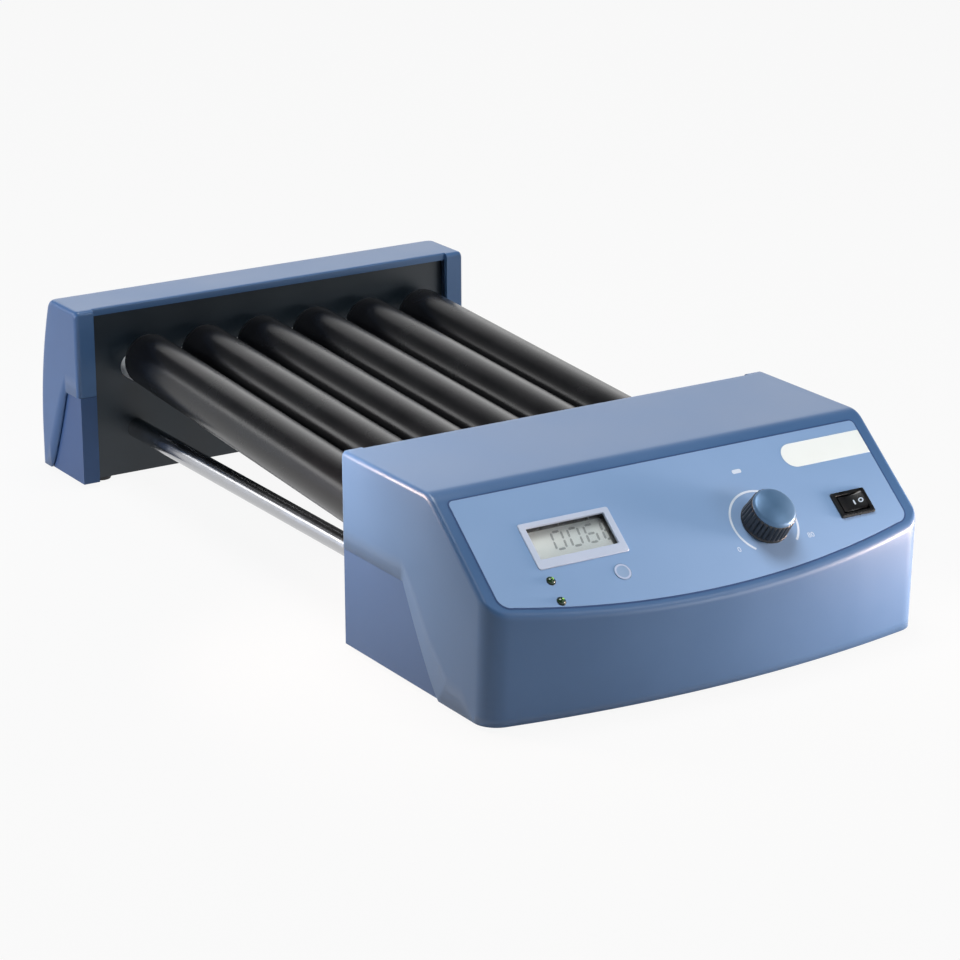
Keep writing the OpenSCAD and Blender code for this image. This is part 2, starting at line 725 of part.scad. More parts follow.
module motor_pulley() color("#b9bcbf")
    difference() {
        pulley(0, motor_z, 2, 2);
        along_y(0, gearbox_y - 1, box_y, motor_z, motor_shaft_d);
    }

module end_cover() color("#5a7093")
    difference() {
        union() {
            difference() {
                end_form(0, 0);
                end_form(skin, recess);
                translate([0, 0, -skin - 1]) end_form(skin, recess);
                post_gap(end_y, 1);
                end_below();
            }
            intersection() {
                for (p = end_bosses) boss(p);
                end_form(skin / 2, recess);
            }
        }
        for (p = end_bosses) boss_hole(p);
    }

module end_tray() color("#42597f")
    difference() {
        union() {
            difference() {
                intersection() {
                    end_form(tray_inset, 0);
                    end_below(fit_gap);
                }
                translate([0, 0, skin]) end_form(tray_inset + tray_wall, recess);
                post_gap(end_y, 1);
                panel_slot(end_y, 1);
            }
            intersection() {
                end_form(skin + fit_gap, panel_back);
                translate([-big / 2, end_y + panel_back, foot_h]) cube([big, big, skin]);
            }
        }
        for (p = end_bosses) translate([p[0], p[1], 0]) cylinder(h = 20, d = screw_d + 0.4);
    }

// Feet: x and y.
foot_x = body_w / 2 - foot_in;
feet = [for (sx = [-1, 1], y = [box_y - recess - foot_d / 2 - 2, box_y - box_d + foot_in,
                                end_y + end_feet[0], end_y + end_feet[1]])
        [sx * foot_x, y]];
module rubber_feet() color("#2b2b2d")
    for (p = feet) translate([p[0], p[1], 0]) {
        cylinder(h = foot_h - 1, d1 = foot_d - 2, d2 = foot_d);
        translate([0, 0, foot_h - 1]) cylinder(h = 1, d = foot_d);
    }

module cover_screws() color("#8d9094")
    for (p = concat(control_bosses, end_bosses)) translate([p[0], p[1], 0]) {
        translate([0, 0, foot_h - screw_head]) cylinder(h = screw_head, d = screw_d * 1.9);
        translate([0, 0, foot_h]) cylinder(h = screw_l, d = screw_d);
    }

// Display: a deep frame through the cover, a clear window and the liquid crystal cell under it.
display_deep = 2.6;
view_w = display_w - 2 * display_rim;
view_h = display_h - display_rim - display_sill;
view_s = (display_sill - display_rim) / 2;
cell_w = display_w - 4;
cell_h = display_h - 4.5;
module display_frame() color("#9fb4d8")
    on_slope(-display_x, display_s) difference() {
        union() {
            box(display_w, display_h, 0.8);
            translate([0, 0, -display_deep - 4])
                box(display_w - 4 * fit_gap, display_h - 4 * fit_gap, display_deep + 4);
        }
        translate([0, view_s, -20]) box(view_w, view_h, 30);
        translate([0, 0, -display_deep - 5]) box(cell_w, cell_h, 5);
    }
module display_window() color([0.85, 0.9, 0.9, 0.35])
    on_slope(-display_x, display_s, -display_deep - 1) box(cell_w, cell_h, 1);
module display_cell() color("#b4bfb4")
    on_slope(-display_x, display_s, -board_deep)
        box(cell_w, cell_h, board_deep - display_deep - 1);

// One board behind the cover carries the display, the lamps and the key's switch.
switch_rise = 4.1;
key_deep = skin + 2.5;
board_deep = key_deep + key_travel + 0.1 + switch_rise;
pillar_d = 3;
board_left = -display_x - display_w / 2 - 2 * pillar_d;
board_right = max(display_w / 2 - display_x, key_d - key_x) + 2 * pillar_d;
board_head = display_s - display_h / 2;
board_foot = lamp_s + lamp_step + lamp_d;
module panel_board() color("#2f6b46") {
    on_slope(board_left, board_foot, -board_deep - board_t)
        cube([board_right - board_left, board_foot - board_head, board_t]);
    for (p = [[board_left + pillar_d, board_head + pillar_d],
              [board_left + pillar_d, lamp_s - lamp_d - pillar_d],
              [board_right - pillar_d, board_head + pillar_d],
              [board_right - pillar_d, board_foot - pillar_d]])
        on_slope(p[0], p[1], -board_deep - board_t)
            cylinder(h = board_deep + board_t - skin, d = pillar_d);
}

module status_lamps() color("#3f6b35")
    for (i = [0, 1]) on_slope(-lamp_x, lamp_s + i * lamp_step) {
        translate([0, 0, -board_deep]) cylinder(h = board_deep, d = lamp_d);
        intersection() {
            sphere(lamp_d / 2);
            cylinder(h = lamp_d, d = lamp_d + 1);
        }
        translate([0, 0, -skin - 2]) cylinder(h = 1.5, d = lamp_d + 1.4);
    }

// Key: a button through the overlay over a small switch.
module set_key() color("#9fb6dd")
    on_slope(-key_x, key_s, -key_deep) {
        cylinder(h = key_deep + 0.7, d = key_d);
        cylinder(h = 1, d = key_hole_d + 1.2);
    }
module key_switch() color("#26282b")
    on_slope(-key_x, key_s, -board_deep) {
        box(6, 6, switch_rise - 0.5);
        cylinder(h = switch_rise, d = 3.4);
    }

// Knob on a potentiometer.
pot_neck_d = 7;
pot_shaft_d = 6;
nut_h = 2;
knob_foot = 0.6;
cap_edge = 0.5;                          // black edge left round the cap
module speed_knob() color("#17191c")
    on_slope(knob_x, knob_s) difference() {
        union() {
            translate([0, 0, knob_foot]) cylinder(h = 1.4, d = knob_d);
            translate([0, 0, knob_foot + 1.4])
                cylinder(h = knob_h - knob_foot - 1.4, d1 = knob_d - 0.4, d2 = knob_top_d);
        }
        translate([0, 0, -1]) cylinder(h = 6, d = knob_top_d - 6);
        translate([0, 0, -1]) cylinder(h = knob_h - 1, d = pot_shaft_d);
    }
module knob_cap() color("#7f95b4")
    on_slope(knob_x, knob_s, knob_h) {
        cap_r = knob_top_d / 2 - cap_edge;
        dome_r = (cap_r * cap_r + knob_dome * knob_dome) / (2 * knob_dome);
        intersection() {
            translate([0, 0, knob_dome - dome_r]) sphere(dome_r, $fn = 96);
            cylinder(h = knob_dome + 1, r = cap_r);
        }
    }
module pot_shaft() color("#c9ccd0")
    on_slope(knob_x, knob_s, -skin - 5) cylinder(h = skin + 5 + knob_h - 2, d = pot_shaft_d);
module pot_body() color("#5b5f63")
    on_slope(knob_x, knob_s) difference() {
        union() {
            translate([0, 0, -skin - 7]) box(13, 13, 7);
            translate([0, 0, -skin]) cylinder(h = skin + 4, d = pot_neck_d);
        }
        translate([0, 0, -skin - 5.5]) cylinder(h = 30, d = pot_shaft_d + 2 * run_gap);
    }
module pot_nut() color("#d3d6d9")
    on_slope(knob_x, knob_s) difference() {
        cylinder(h = nut_h, d = 12, $fn = 6);
        translate([0, 0, -1]) cylinder(h = nut_h + 2, d = pot_neck_d);
    }

// Rocker switch, with its long side across the panel.
switch_lip = 1.6;
switch_cut_w = switch_w - 2.6;
switch_cut_h = switch_h - 2.3;
rocker_w = switch_cut_w - 3.4;
rocker_h = switch_cut_h - 3;
rocker_r = rocker_w * 0.62;
rocker_pivot = -2.5;
module switch_frame() color("#141517")
    on_slope(switch_x, switch_s) difference() {
        union() {
            box(switch_w, switch_h, switch_lip, 1);
            translate([0, 0, -14]) box(switch_cut_w - 2 * fit_gap, switch_cut_h - 2 * fit_gap, 15);
        }
        translate([0, 0, -9]) box(rocker_w + 1.2, rocker_h + 1, 30);
        translate([0, 0, rocker_pivot]) rotate([90, 0, 0])
            cylinder(h = rocker_h + 3, d = 2 + 2 * run_gap, center = true);
    }

// The rocker's top is two flat pads that meet at a shallow angle over its pivot.
module switch_rocker() color("#1f2124")
    on_slope(switch_x, switch_s, rocker_pivot) rotate([0, -rocker_tilt, 0]) {
        half = rocker_w / 2 - 0.5;
        dip = half * tan(rocker_tilt + 4);
        rise = -rocker_pivot + switch_lip + 1.2;
        rotate([90, 0, 0]) {
            linear_extrude(rocker_h, center = true)
                polygon([[-half, rise], [0, rise - dip], [half, rise], [half, -1],
                         [2, -4.5], [-2, -4.5], [-half, -1]]);
            cylinder(h = rocker_h + 2.4, d = 2, center = true);
        }
    }

// Electronics on the tray's floor.
floor_z = foot_h + skin;
motor_room = gearbox_d / 2 + 8;          // kept free beside the motor
board_w = body_w / 2 - boss_in - boss_d / 2 - 4 - motor_room;
board_d = 56;
board_y = gearbox_y - 8 - board_d / 2;
board_x = -(motor_room + board_w / 2);
module board_frame(z = 0) translate([board_x, board_y, floor_z + z]) children();
module main_board() color("#2f6b46") {
    board_frame(pillar_h) box(board_w, board_d, board_t, 2);
    for (sx = [-1, 1], sy = [-1, 1])
        board_frame() translate([sx * (board_w / 2 - 5), sy * (board_d / 2 - 5), 0])
            cylinder(h = pillar_h, d = 5);
}
module board_parts() color("#3a3c40")
    board_frame(pillar_h + board_t) {
        for (x = [-28, -14]) translate([x, 12, 0]) cylinder(h = 16, d = 10);
        translate([10, 10, 0]) box(18, 14, 12);
        translate([-20, -12, 0]) box(14, 14, 2);
        translate([8, -12, 0]) box(10, 10, 2);
        for (x = [-30, -10, 12, 30]) translate([x, -23, 0]) box(10, 5, 8);
        translate([31, 8, 0]) box(8, 20, 10);
    }

module_w = board_w - 14;
module_d = 46;
module_h = 30;
module power_module() color("#6a6e73")
    translate([motor_room + 2 + module_w / 2, board_y, floor_z]) {
        box(module_w, module_d, module_h, 2);
        translate([0, 0, module_h]) box(module_w - 16, 10, 5);
    }

module roller_tube_1() roller_tube(1);
module roller_tube_2() roller_tube(2);
module roller_tube_3() roller_tube(3);
module roller_tube_4() roller_tube(4);
module roller_tube_5() roller_tube(5);
module roller_tube_6() roller_tube(6);
module roller_shafts_1() roller_shafts(1);
module roller_shafts_2() roller_shafts(2);
module roller_shafts_3() roller_shafts(3);
module roller_shafts_4() roller_shafts(4);
module roller_shafts_5() roller_shafts(5);
module roller_shafts_6() roller_shafts(6);

control_cover();
control_tray();
control_bearing_panel();
control_overlay();
name_plate();
display_frame();
display_window();
display_cell();
panel_board();
status_lamps();
set_key();
key_switch();
speed_knob();
knob_cap();
pot_shaft();
pot_body();
pot_nut();
switch_frame();
switch_rocker();
power_inlet();
inlet_pins();
main_board();
board_parts();
power_module();
drive_plate();
plate_pillars();
shaft_bearings();
control_bushes();
gear_motor();
motor_screws();
motor_shaft();
motor_pulley();
motor_belt();
link_belts();
left_tie_rod();
right_tie_rod();
rod_screws();
end_cover();
end_tray();
end_bearing_panel();
end_bushes();
rubber_feet();
cover_screws();
roller_tube_1();
roller_tube_2();
roller_tube_3();
roller_tube_4();
roller_tube_5();
roller_tube_6();
roller_shafts_1();
roller_shafts_2();
roller_shafts_3();
roller_shafts_4();
roller_shafts_5();
roller_shafts_6();
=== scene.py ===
import math

import bpy
import bmesh
import numpy as np
from mathutils import Matrix, Vector


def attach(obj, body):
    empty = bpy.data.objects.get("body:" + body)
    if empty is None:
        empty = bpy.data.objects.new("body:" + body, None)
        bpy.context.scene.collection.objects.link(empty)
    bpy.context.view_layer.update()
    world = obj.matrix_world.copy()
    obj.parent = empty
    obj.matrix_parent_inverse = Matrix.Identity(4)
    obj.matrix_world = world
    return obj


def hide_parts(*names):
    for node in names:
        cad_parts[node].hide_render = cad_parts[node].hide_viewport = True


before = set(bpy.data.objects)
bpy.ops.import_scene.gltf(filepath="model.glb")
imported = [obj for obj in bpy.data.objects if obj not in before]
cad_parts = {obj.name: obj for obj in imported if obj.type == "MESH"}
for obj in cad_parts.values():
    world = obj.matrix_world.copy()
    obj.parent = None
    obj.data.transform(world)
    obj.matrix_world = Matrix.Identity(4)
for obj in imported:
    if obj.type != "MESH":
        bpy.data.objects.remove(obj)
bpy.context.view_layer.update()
scene = bpy.context.scene
mm = 0.001  # every size below is in millimetres and becomes metres on its way into a mesh
print("frame loaded:", len(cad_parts), "nodes")

# the machine's own sizes, in millimetres

housing = dict(width=270.0, height=107.0, foot=3.0, post=12.0, recess=7.0, rimThick=4.4,
               rimSet=2.9, seamHeight=54.0, edgeRound=3.0, rimRound=1.1, wall=1.9)
control = dict(face=-107.418, foldDepth=87.5, slope=39.5, foldRound=16.0, frontDepth=143.5,
               bow=11.5, lean=2.5, cornerRound=13.0, lipRound=6.0, seamFlat=62.0, seamFoot=96.0)
endBox = dict(face=207.582, depth=57.0, backRadius=240.0, backHeight=20.0, topRound=8.0,
              cornerRound=6.0, seamFlat=18.0, seamFoot=43.0)
roller = dict(count=6, diameter=32.0, gap=6.0, axisHeight=70.0, throw=8.0, phase=42.0, endGap=5.0,
              bedLength=315.0, wall=2.0, chamfer=0.7, lap=12.0)
slopeAngle = math.radians(control["slope"])
tanA, cosA, sinA = math.tan(slopeAngle), math.cos(slopeAngle), math.sin(slopeAngle)
half = housing["width"] / 2
topHeight = housing["foot"] + housing["height"]
bedMiddle = control["face"] + roller["bedLength"] / 2
# middles on the slope: x across, s down from the fold
middles = dict(display=(-69.3, 40.7), key=(-52.0, 65.0), knob=(41.5, 54.8), switch=(98.4, 55.0))

# colour and node helpers


def srgb(code):
    # hex as it is seen on a screen, to the linear value a shader wants
    values = [int(code[i:i + 2], 16) / 255 for i in (1, 3, 5)]
    return [v / 12.92 if v <= 0.04045 else ((v + 0.055) / 1.055) ** 2.4 for v in values] + [1.0]


def addNode(tree, kind, settings=None, **links):
    # settings go to node properties, links to input sockets: a value, or another node's output
    node = tree.nodes.new(kind)
    for name, value in (settings or {}).items():
        setattr(node, name, value)
    for name, value in links.items():
        key = name.replace("_", " ")
        socket = node.inputs[int(key[2:])] if key.startswith("in") and key[2:].isdigit() \
            else node.inputs[key]
        if isinstance(value, bpy.types.NodeSocket):
            tree.links.new(value, socket)
        else:
            socket.default_value = value
    return node


def finish(name, base, drift, patch, rough=None, relief=None, detail=3.0, **sockets):
    # A material on Object coordinates. base and sockets are the shader's own values. One soft
    # noise, with patches of that many millimetres, carries the colour from drift's first hex
    # value to its second and the roughness from rough's first value to its second. relief is a
    # fine bump: its spacing and depth in millimetres, cells for a dimpled one, and a stretch.
    # Real grains are mostly finer than this: each is drawn as coarse as it needs to show.
    material = bpy.data.materials.new(name)
    material.use_nodes = True
    tree = material.node_tree
    shader = tree.nodes["Principled BSDF"]
    shader.inputs["Base Color"].default_value = srgb(base)
    for key, value in sockets.items():
        shader.inputs[key.replace("_", " ")].default_value = value
    place = addNode(tree, "ShaderNodeTexCoord").outputs["Object"]
    noise = addNode(tree, "ShaderNodeTexNoise", Vector=place, Scale=1 / (patch * mm),
                    Detail=detail).outputs[0]
    if drift:
        share = addNode(tree, "ShaderNodeMapRange", Value=noise, in1=0.3, in2=0.7)
        mix = addNode(tree, "ShaderNodeMix", dict(data_type="RGBA"), in0=share.outputs[0],
                      in6=srgb(drift[0]), in7=srgb(drift[1]))
        tree.links.new(mix.outputs[2], shader.inputs["Base Color"])
    if rough:
        ramp = addNode(tree, "ShaderNodeMapRange", Value=noise, in1=0.3, in2=0.7, in3=rough[0],
                       in4=rough[1])
        tree.links.new(ramp.outputs[0], shader.inputs["Roughness"])
    if relief:
        spread = addNode(tree, "ShaderNodeMapping", Vector=place,
                         Scale=relief.get("stretch", (1, 1, 1))).outputs[0]
        scale = 1 / (relief["spacing"] * mm)
        if relief.get("cells"):
            source = addNode(tree, "ShaderNodeTexVoronoi", dict(feature="F1"), Vector=spread,
                             Scale=scale)
        else:
            source = addNode(tree, "ShaderNodeTexNoise", Vector=spread, Scale=scale, Detail=4.0)
        bump = addNode(tree, "ShaderNodeBump", Strength=1.0, Distance=relief["depth"] * mm,
                       Height=source.outputs[0])
        tree.links.new(bump.outputs[0], shader.inputs["Normal"])
    return material


# materials

# ABS, moulded in a spark-eroded tool: an even satin skin with a very fine grain
mouldedAbs = finish("mouldedBlueGreyAbs", "#476b98", ("#446895", "#4a6e9b"), 60, (0.33, 0.38),
                    dict(spacing=0.9, depth=0.018), Roughness=0.35, IOR=1.5)

# the cover's ABS made darker for the lower trays: painted shade
shadedTrayAbs = finish("mouldedShadedBlueAbs", "#3c5b88", ("#395885", "#3f5e8b"), 60, (0.43, 0.49),
                 dict(spacing=0.9, depth=0.018), Roughness=0.45, IOR=1.45)

# hard PVC sheet, extruded smooth: dark, even, with a soft sheen
pvcSheet = finish("extrudedSlatePvcSheet", "#1e2b35", ("#1c2934", "#212f39"), 45, (0.35, 0.42),
                  dict(spacing=1.6, depth=0.01), Roughness=0.38, IOR=1.54)

# polycarbonate film, screen printed on its back: flat light blue under a fine matt texture
printedFilm = finish("printedLightBlueFilm", "#8aabd6", ("#87a9d4", "#8daed9"), 70, (0.34, 0.38),
                     dict(spacing=0.45, depth=0.006, cells=True), Roughness=0.36, IOR=1.585)

# a deep blue sheet a little wider than the film, laid under it: its rim is painted shade of the
# gap round the film's edge
paintedGapShade = finish("deepBlueBorderInk", "#34507f", ("#324e7d", "#375383"), 20, Roughness=0.4,
                   IOR=1.5)

# white screen ink: opaque and slightly chalky
whiteInk = finish("whiteScreenInk", "#dbe8f8", ("#d6e4f6", "#dfebf9"), 6, Roughness=0.5, IOR=1.5)

# polyester label, coated white: smooth, with a faint gloss
whiteLabel = finish("coatedWhiteLabel", "#f3fbfb", ("#f1f9f9", "#f5fdfd"), 30, Roughness=0.25,
                    IOR=1.5)

# display frame, ABS in pale lavender blue: moulded, with lightly polished edges
paleAbs = finish("mouldedPaleBlueAbs", "#c6d3ea", ("#c3d1e8", "#cad6ec"), 20,
                 relief=dict(spacing=0.6, depth=0.01), Roughness=0.34, IOR=1.53)

# soda-lime glass of the display cell over a grey-green reflector: cool, slightly uneven
lcdGlass = finish("reflectiveLcdGlass", "#dfe8e8", ("#d8e2e4", "#e6ece9"), 25, detail=1.0,
                  Roughness=0.22, IOR=1.52)

# liquid crystal segments that are driven dark: a soft grey-green
segmentInk = finish("darkLiquidCrystal", "#768286", ("#717d81", "#7c888b"), 5, Roughness=0.22,
                    IOR=1.52)

# cast acrylic window: clear, hard and glossy
acrylic = finish("castClearAcrylic", "#f4f8f6", None, 30, (0.05, 0.09), detail=1.0,
                 Roughness=0.06, IOR=1.49, Alpha=0.16)

# phenolic knob skirt, compression moulded: black with a soft sheen on the ribs
knobPhenolic = finish("mouldedBlackPhenolic", "#15181d", ("#12151a", "#1b1f25"), 8, (0.30, 0.40),
                      dict(spacing=0.5, depth=0.01), Roughness=0.34, IOR=1.6)

# knob cap, aluminium turned and anodised blue-grey: a muted metal with a soft highlight
anodised = finish("turnedBlueAnodisedAluminium", "#567a9f", ("#52769a", "#5b7fa5"), 12,
                  (0.4, 0.45), dict(spacing=0.35, depth=0.006), Roughness=0.42, Metallic=0.35)

# nylon of the switch, injection moulded: black, fairly glossy
blackNylon = finish("mouldedBlackNylon", "#101114", ("#0e0f12", "#15171a"), 6, (0.25, 0.33),
                    Roughness=0.28, IOR=1.53)

# roller sleeve, extruded black silicone on a tube: satin, with faint lengthwise draw lines
rollerSleeve = finish("extrudedBlackSleeve", "#0d0e11", ("#0d0e11", "#131417"), 30, (0.23, 0.28),
                      dict(spacing=1.2, depth=0.012, stretch=(1, 0.04, 1)), Roughness=0.25,
                      IOR=1.38)

# stainless bar, centreless ground and polished: bright, with very fine turns round the bar
polishedBar = finish("groundStainlessBar", "#b2b3b6", None, 14, (0.17, 0.26),
                     dict(spacing=0.5, depth=0.003, stretch=(0.05, 1, 0.05)), Roughness=0.2,
                     Metallic=1.0)

# turned steel of the plugs and stub shafts, blackened: dark metal with tool marks
blackenedSteel = finish("turnedBlackenedSteel", "#5a5d62", ("#54575c", "#64676c"), 7,
                        (0.30, 0.40), Roughness=0.34, Metallic=1.0)

# acetal bushes: milky white, waxy
acetal = finish("turnedWhiteAcetal", "#dfe3e6", ("#dadfe2", "#e6e9ec"), 6, (0.35, 0.42),
                Roughness=0.38, IOR=1.48)

# sheet steel and screws, zinc plated: grey-blue metal with cloudy crystals
zincPlate = finish("zincPlatedSteel", "#a7adb3", ("#9da3aa", "#b1b6bb"), 5, (0.32, 0.46),
                   detail=5.0, Roughness=0.38, Metallic=1.0)

# turned aluminium of the motor pulley: pale, softly uneven
turnedAluminium = finish("turnedAluminium", "#c4c6c8", ("#bec0c3", "#cbcdcf"), 5, (0.26, 0.35),
                         Roughness=0.3, Metallic=1.0)

# glass-fibre circuit board under green solder resist: glossy with a fine weave
circuitBoard = finish("greenResistFibreboard", "#2b6a45", ("#27623f", "#30724b"), 3,
                      relief=dict(spacing=0.7, depth=0.01, cells=True), Roughness=0.32, IOR=1.55)

# epoxy and moulded cases of the parts on the boards: dull black
epoxyCase = finish("mouldedEpoxyCase", "#24262a", ("#202226", "#2b2d32"), 5, Roughness=0.5,
                   IOR=1.55)

# moulded nitrile feet and belts: matt black rubber
nitrile = finish("mouldedBlackNitrile", "#1d1d1f", ("#19191b", "#242426"), 4,
                 relief=dict(spacing=0.5, depth=0.02), Roughness=0.7, IOR=1.52)

# the key's cap, ABS in a blue near the film's: satin
keyAbs = finish("mouldedFilmBlueAbs", "#93b0d4", ("#90add1", "#97b4d8"), 10, Roughness=0.4,
                IOR=1.53)

# the key's ring, a pale ink close to the blue under it
ringInk = finish("paleRingInk", "#bccbe8", ("#b8c8e6", "#c1cfeb"), 4, Roughness=0.45, IOR=1.5)

# painted highlight on the lamp lens: a small bright yellow-green spot that glows faintly
paintedHighlightGlow = finish("litGreenChip", "#8fd457", ("#7fc648", "#a2e06c"), 1.0, Roughness=0.2, IOR=1.5,
                  Emission_Color=srgb("#6fb83a"), Emission_Strength=0.25)

# lamp lens, tinted epoxy: dark glossy green
lampLens = finish("tintedGreenEpoxy", "#16351a", ("#0f2912", "#1f4522"), 2.2, detail=1.0,
                  Roughness=0.2, IOR=1.55)

print("materials made")

# mesh helpers


def weld(mesh, reach, slivers=False):
    # merges points within reach metres of each other, drops slivers, turns faces outwards
    work = bmesh.new()
    work.from_mesh(mesh)
    bmesh.ops.remove_doubles(work, verts=work.verts, dist=reach)
    if slivers:
        bmesh.ops.dissolve_degenerate(work, edges=work.edges, dist=1e-6)
    bmesh.ops.recalc_face_normals(work, faces=work.faces)
    work.to_mesh(mesh)
    work.free()


def readPoints(mesh):
    values = np.zeros(len(mesh.vertices) * 3)
    mesh.vertices.foreach_get("co", values)
    return values.reshape(-1, 3) / mm


def writePoints(mesh, points):
    mesh.vertices.foreach_set("co", (points * mm).astype(np.float32).ravel())
    mesh.update()


def addPiece(name, mesh, material, body):
    mesh.materials.clear()
    mesh.materials.append(material)
    piece = bpy.data.objects.new(name, mesh)
    scene.collection.objects.link(piece)
    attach(piece, body)
    return piece


def gridPiece(name, points, material, body, closeRows=False, closeColumns=False, smoothAngle=35,
              keep=None):
    # a surface through a (rows, columns, 3) grid of points: quads between neighbours, closed
    # round in either direction; keep drops the quads marked False
    rows, columns = points.shape[:2]
    r = np.arange(rows if closeRows else rows - 1)
    c = np.arange(columns if closeColumns else columns - 1)
    i, j = np.meshgrid(r, c, indexing="ij")
    i2, j2 = (i + 1) % rows, (j + 1) % columns
    quads = np.stack([i * columns + j, i * columns + j2, i2 * columns + j2, i2 * columns + j], -1)
    if keep is not None:
        quads = quads[keep]
    loops = quads.astype(np.int32).ravel()
    mesh = bpy.data.meshes.new(name)
    mesh.vertices.add(rows * columns)
    mesh.loops.add(len(loops))
    mesh.loops.foreach_set("vertex_index", loops)
    mesh.polygons.add(len(loops) // 4)
    mesh.polygons.foreach_set("loop_start", np.arange(0, len(loops), 4, dtype=np.int32))
    mesh.vertices.foreach_set("co", (points * mm).astype(np.float32).ravel())
    mesh.update(calc_edges=True)
    mesh.validate()
    weld(mesh, 2e-6, slivers=True)
    mesh.shade_smooth()
    mesh.set_sharp_from_angle(angle=math.radians(smoothAngle))
    return addPiece(name, mesh, material, body)


def fillet(before, corner, after, radius, steps):
    # rounds corner between the lines to before and after: centre on the bisector, an arc of
    # steps + 1 points from tangent point to tangent point. Arrays of (..., 2) points.
    u = (before - corner) / np.linalg.norm(before - corner, axis=-1, keepdims=True)
    v = (after - corner) / np.linalg.norm(after - corner, axis=-1, keepdims=True)
    halfAngle = np.arccos(np.clip((u * v).sum(-1), -1, 1)) / 2
    reach = radius / np.tan(halfAngle)
    bisector = (u + v) / np.linalg.norm(u + v, axis=-1, keepdims=True)
    centre = corner + bisector * (radius / np.sin(halfAngle))[..., None]
    a, b = corner + u * reach[..., None] - centre, corner + v * reach[..., None] - centre
    turn = math.pi - 2 * halfAngle
    t = np.linspace(0, 1, steps + 1)
    wa = np.sin(turn[..., None] * (1 - t)) / np.sin(turn)[..., None]
    wb = np.sin(turn[..., None] * t) / np.sin(turn)[..., None]
    return centre[..., None, :] + wa[..., None] * a[..., None, :] + wb[..., None] * b[..., None, :]


def solidify(piece, thickness):
    wall = piece.modifiers.new("wall", "SOLIDIFY")
    wall.thickness = thickness * mm
    wall.offset = -1.0  # the wall grows inwards from the modelled skin
    wall.use_even_offset = True
    wall.use_quality_normals = True


def onSlope(x, s, h):
    # slope coordinates to the machine's: x across, s down from the fold, h out of the surface
    x, s, h = np.broadcast_arrays(np.asarray(x, float), s, h)
    return np.stack([x, control["face"] - control["foldDepth"] - s * cosA - h * sinA,
                     topHeight - s * sinA + h * cosA], -1)


def standAt(x0, s0):
    # a place function for revolve, its axis standing on the slope at (x0, s0)
    def place(x, y, h):
        return onSlope(x0 + x, s0 + y, h)
    return place


def revolve(name, profile, place, material, body, steps=64, ribs=None, smoothAngle=35):
    # a profile of (radius, height) points carried round an axis; place turns (x, y, height)
    # arrays into the machine's frame; ribs(angle, row) scales the radius
    profile = np.asarray(profile, float)
    angle = np.linspace(0, 2 * math.pi, steps, endpoint=False)
    radius = profile[:, :1] * np.ones(steps)
    if ribs is not None:
        radius = radius * ribs(angle[None, :], np.arange(len(profile))[:, None])
    points = place(radius * np.cos(angle), radius * np.sin(angle), profile[:, 1:] * np.ones(steps))
    return gridPiece(name, points, material, body, closeColumns=True, smoothAngle=smoothAngle)


def laidPiece(name, curve, material, body, height, x=0.0, s=0.0):
    # a filled curve made a mesh and laid on the slope, its middle at (x, s) and at that height
    temp = bpy.data.objects.new(name + "Temp", curve)
    scene.collection.objects.link(temp)
    bpy.context.view_layer.update()
    mesh = bpy.data.meshes.new_from_object(temp.evaluated_get(
        bpy.context.evaluated_depsgraph_get()))
    bpy.data.objects.remove(temp)
    mesh.name = name
    flat = readPoints(mesh)
    writePoints(mesh, onSlope(flat[:, 0] + x, s - flat[:, 1], flat[:, 2] + height))
    weld(mesh, 1e-6)
    return addPiece(name, mesh, material, body)


def flatPiece(name, loops, material, body, thickness, height):
    # a flat outline with holes on the slope, filled and given a thickness.
    # loops are (n, 2) arrays of (x, s), outline first.
    curve = bpy.data.curves.new(name + "Curve", "CURVE")
    curve.dimensions = "2D"
    curve.fill_mode = "BOTH"
    curve.extrude = thickness / 2 * mm
    for loop in loops:
        spline = curve.splines.new("POLY")
        spline.points.add(len(loop) - 1)
        flat = np.zeros((len(loop), 4))
        flat[:, 0], flat[:, 1], flat[:, 3] = loop[:, 0] * mm, -loop[:, 1] * mm, 1
        spline.points.foreach_set("co", flat.ravel())
        spline.use_cyclic_u = True
    return laidPiece(name, curve, material, body, height)


def arc(x, s, radius, angle):
    return np.stack([x + radius * np.cos(angle), s + radius * np.sin(angle)], -1)


def circle(radius, x=0.0, s=0.0, steps=48):
    return arc(x, s, radius, np.linspace(0, 2 * math.pi, steps, endpoint=False))


def roundRect(width, height, radius, x=0.0, s=0.0, steps=6):
    # corner arcs in turn, from the lower right one round
    quarter = np.linspace(0, math.pi / 2, steps + 1)
    return np.concatenate([
        arc(x + sx * (width / 2 - radius), s + sy * (height / 2 - radius), radius,
            quarter + k * math.pi / 2)
        for k, (sx, sy) in enumerate([(1, 1), (-1, 1), (-1, -1), (1, -1)])])


def slopeRings(name, x, s, rings, material, body):
    # rounded rectangles (width, height, corner, shift down the slope, height out of it) joined
    # one after another into a closed skin
    points = np.stack([onSlope(*(roundRect(w, h, r, x, s + shift)).T, z)
                       for w, h, r, shift, z in rings])
    return gridPiece(name, points, material, body, True, True, 30)


# housing skins


def acrossStations(cornerRadius, extra):
    # x of the columns from the middle to the right side: even steps on the flat, equal angles
    # on the corner and edge roundings, a double column where the post begins
    edge = housing["edgeRound"]
    stations = np.concatenate([
        np.linspace(0, half - cornerRadius, 12), extra,
        half - cornerRadius + cornerRadius * np.sin(np.linspace(0, math.pi / 2, 13)),
        half - edge + edge * np.sin(np.linspace(0, math.pi / 2, 9))])
    stations = np.unique(np.round(stations, 4))
    post = half - housing["post"]
    inside, outside = stations[stations < post - 1e-6], stations[stations > post + 1e-6]
    return (np.concatenate([inside, [post, post], outside]),
            np.concatenate([np.zeros(len(inside) + 1, bool), np.ones(len(outside) + 1, bool)]))


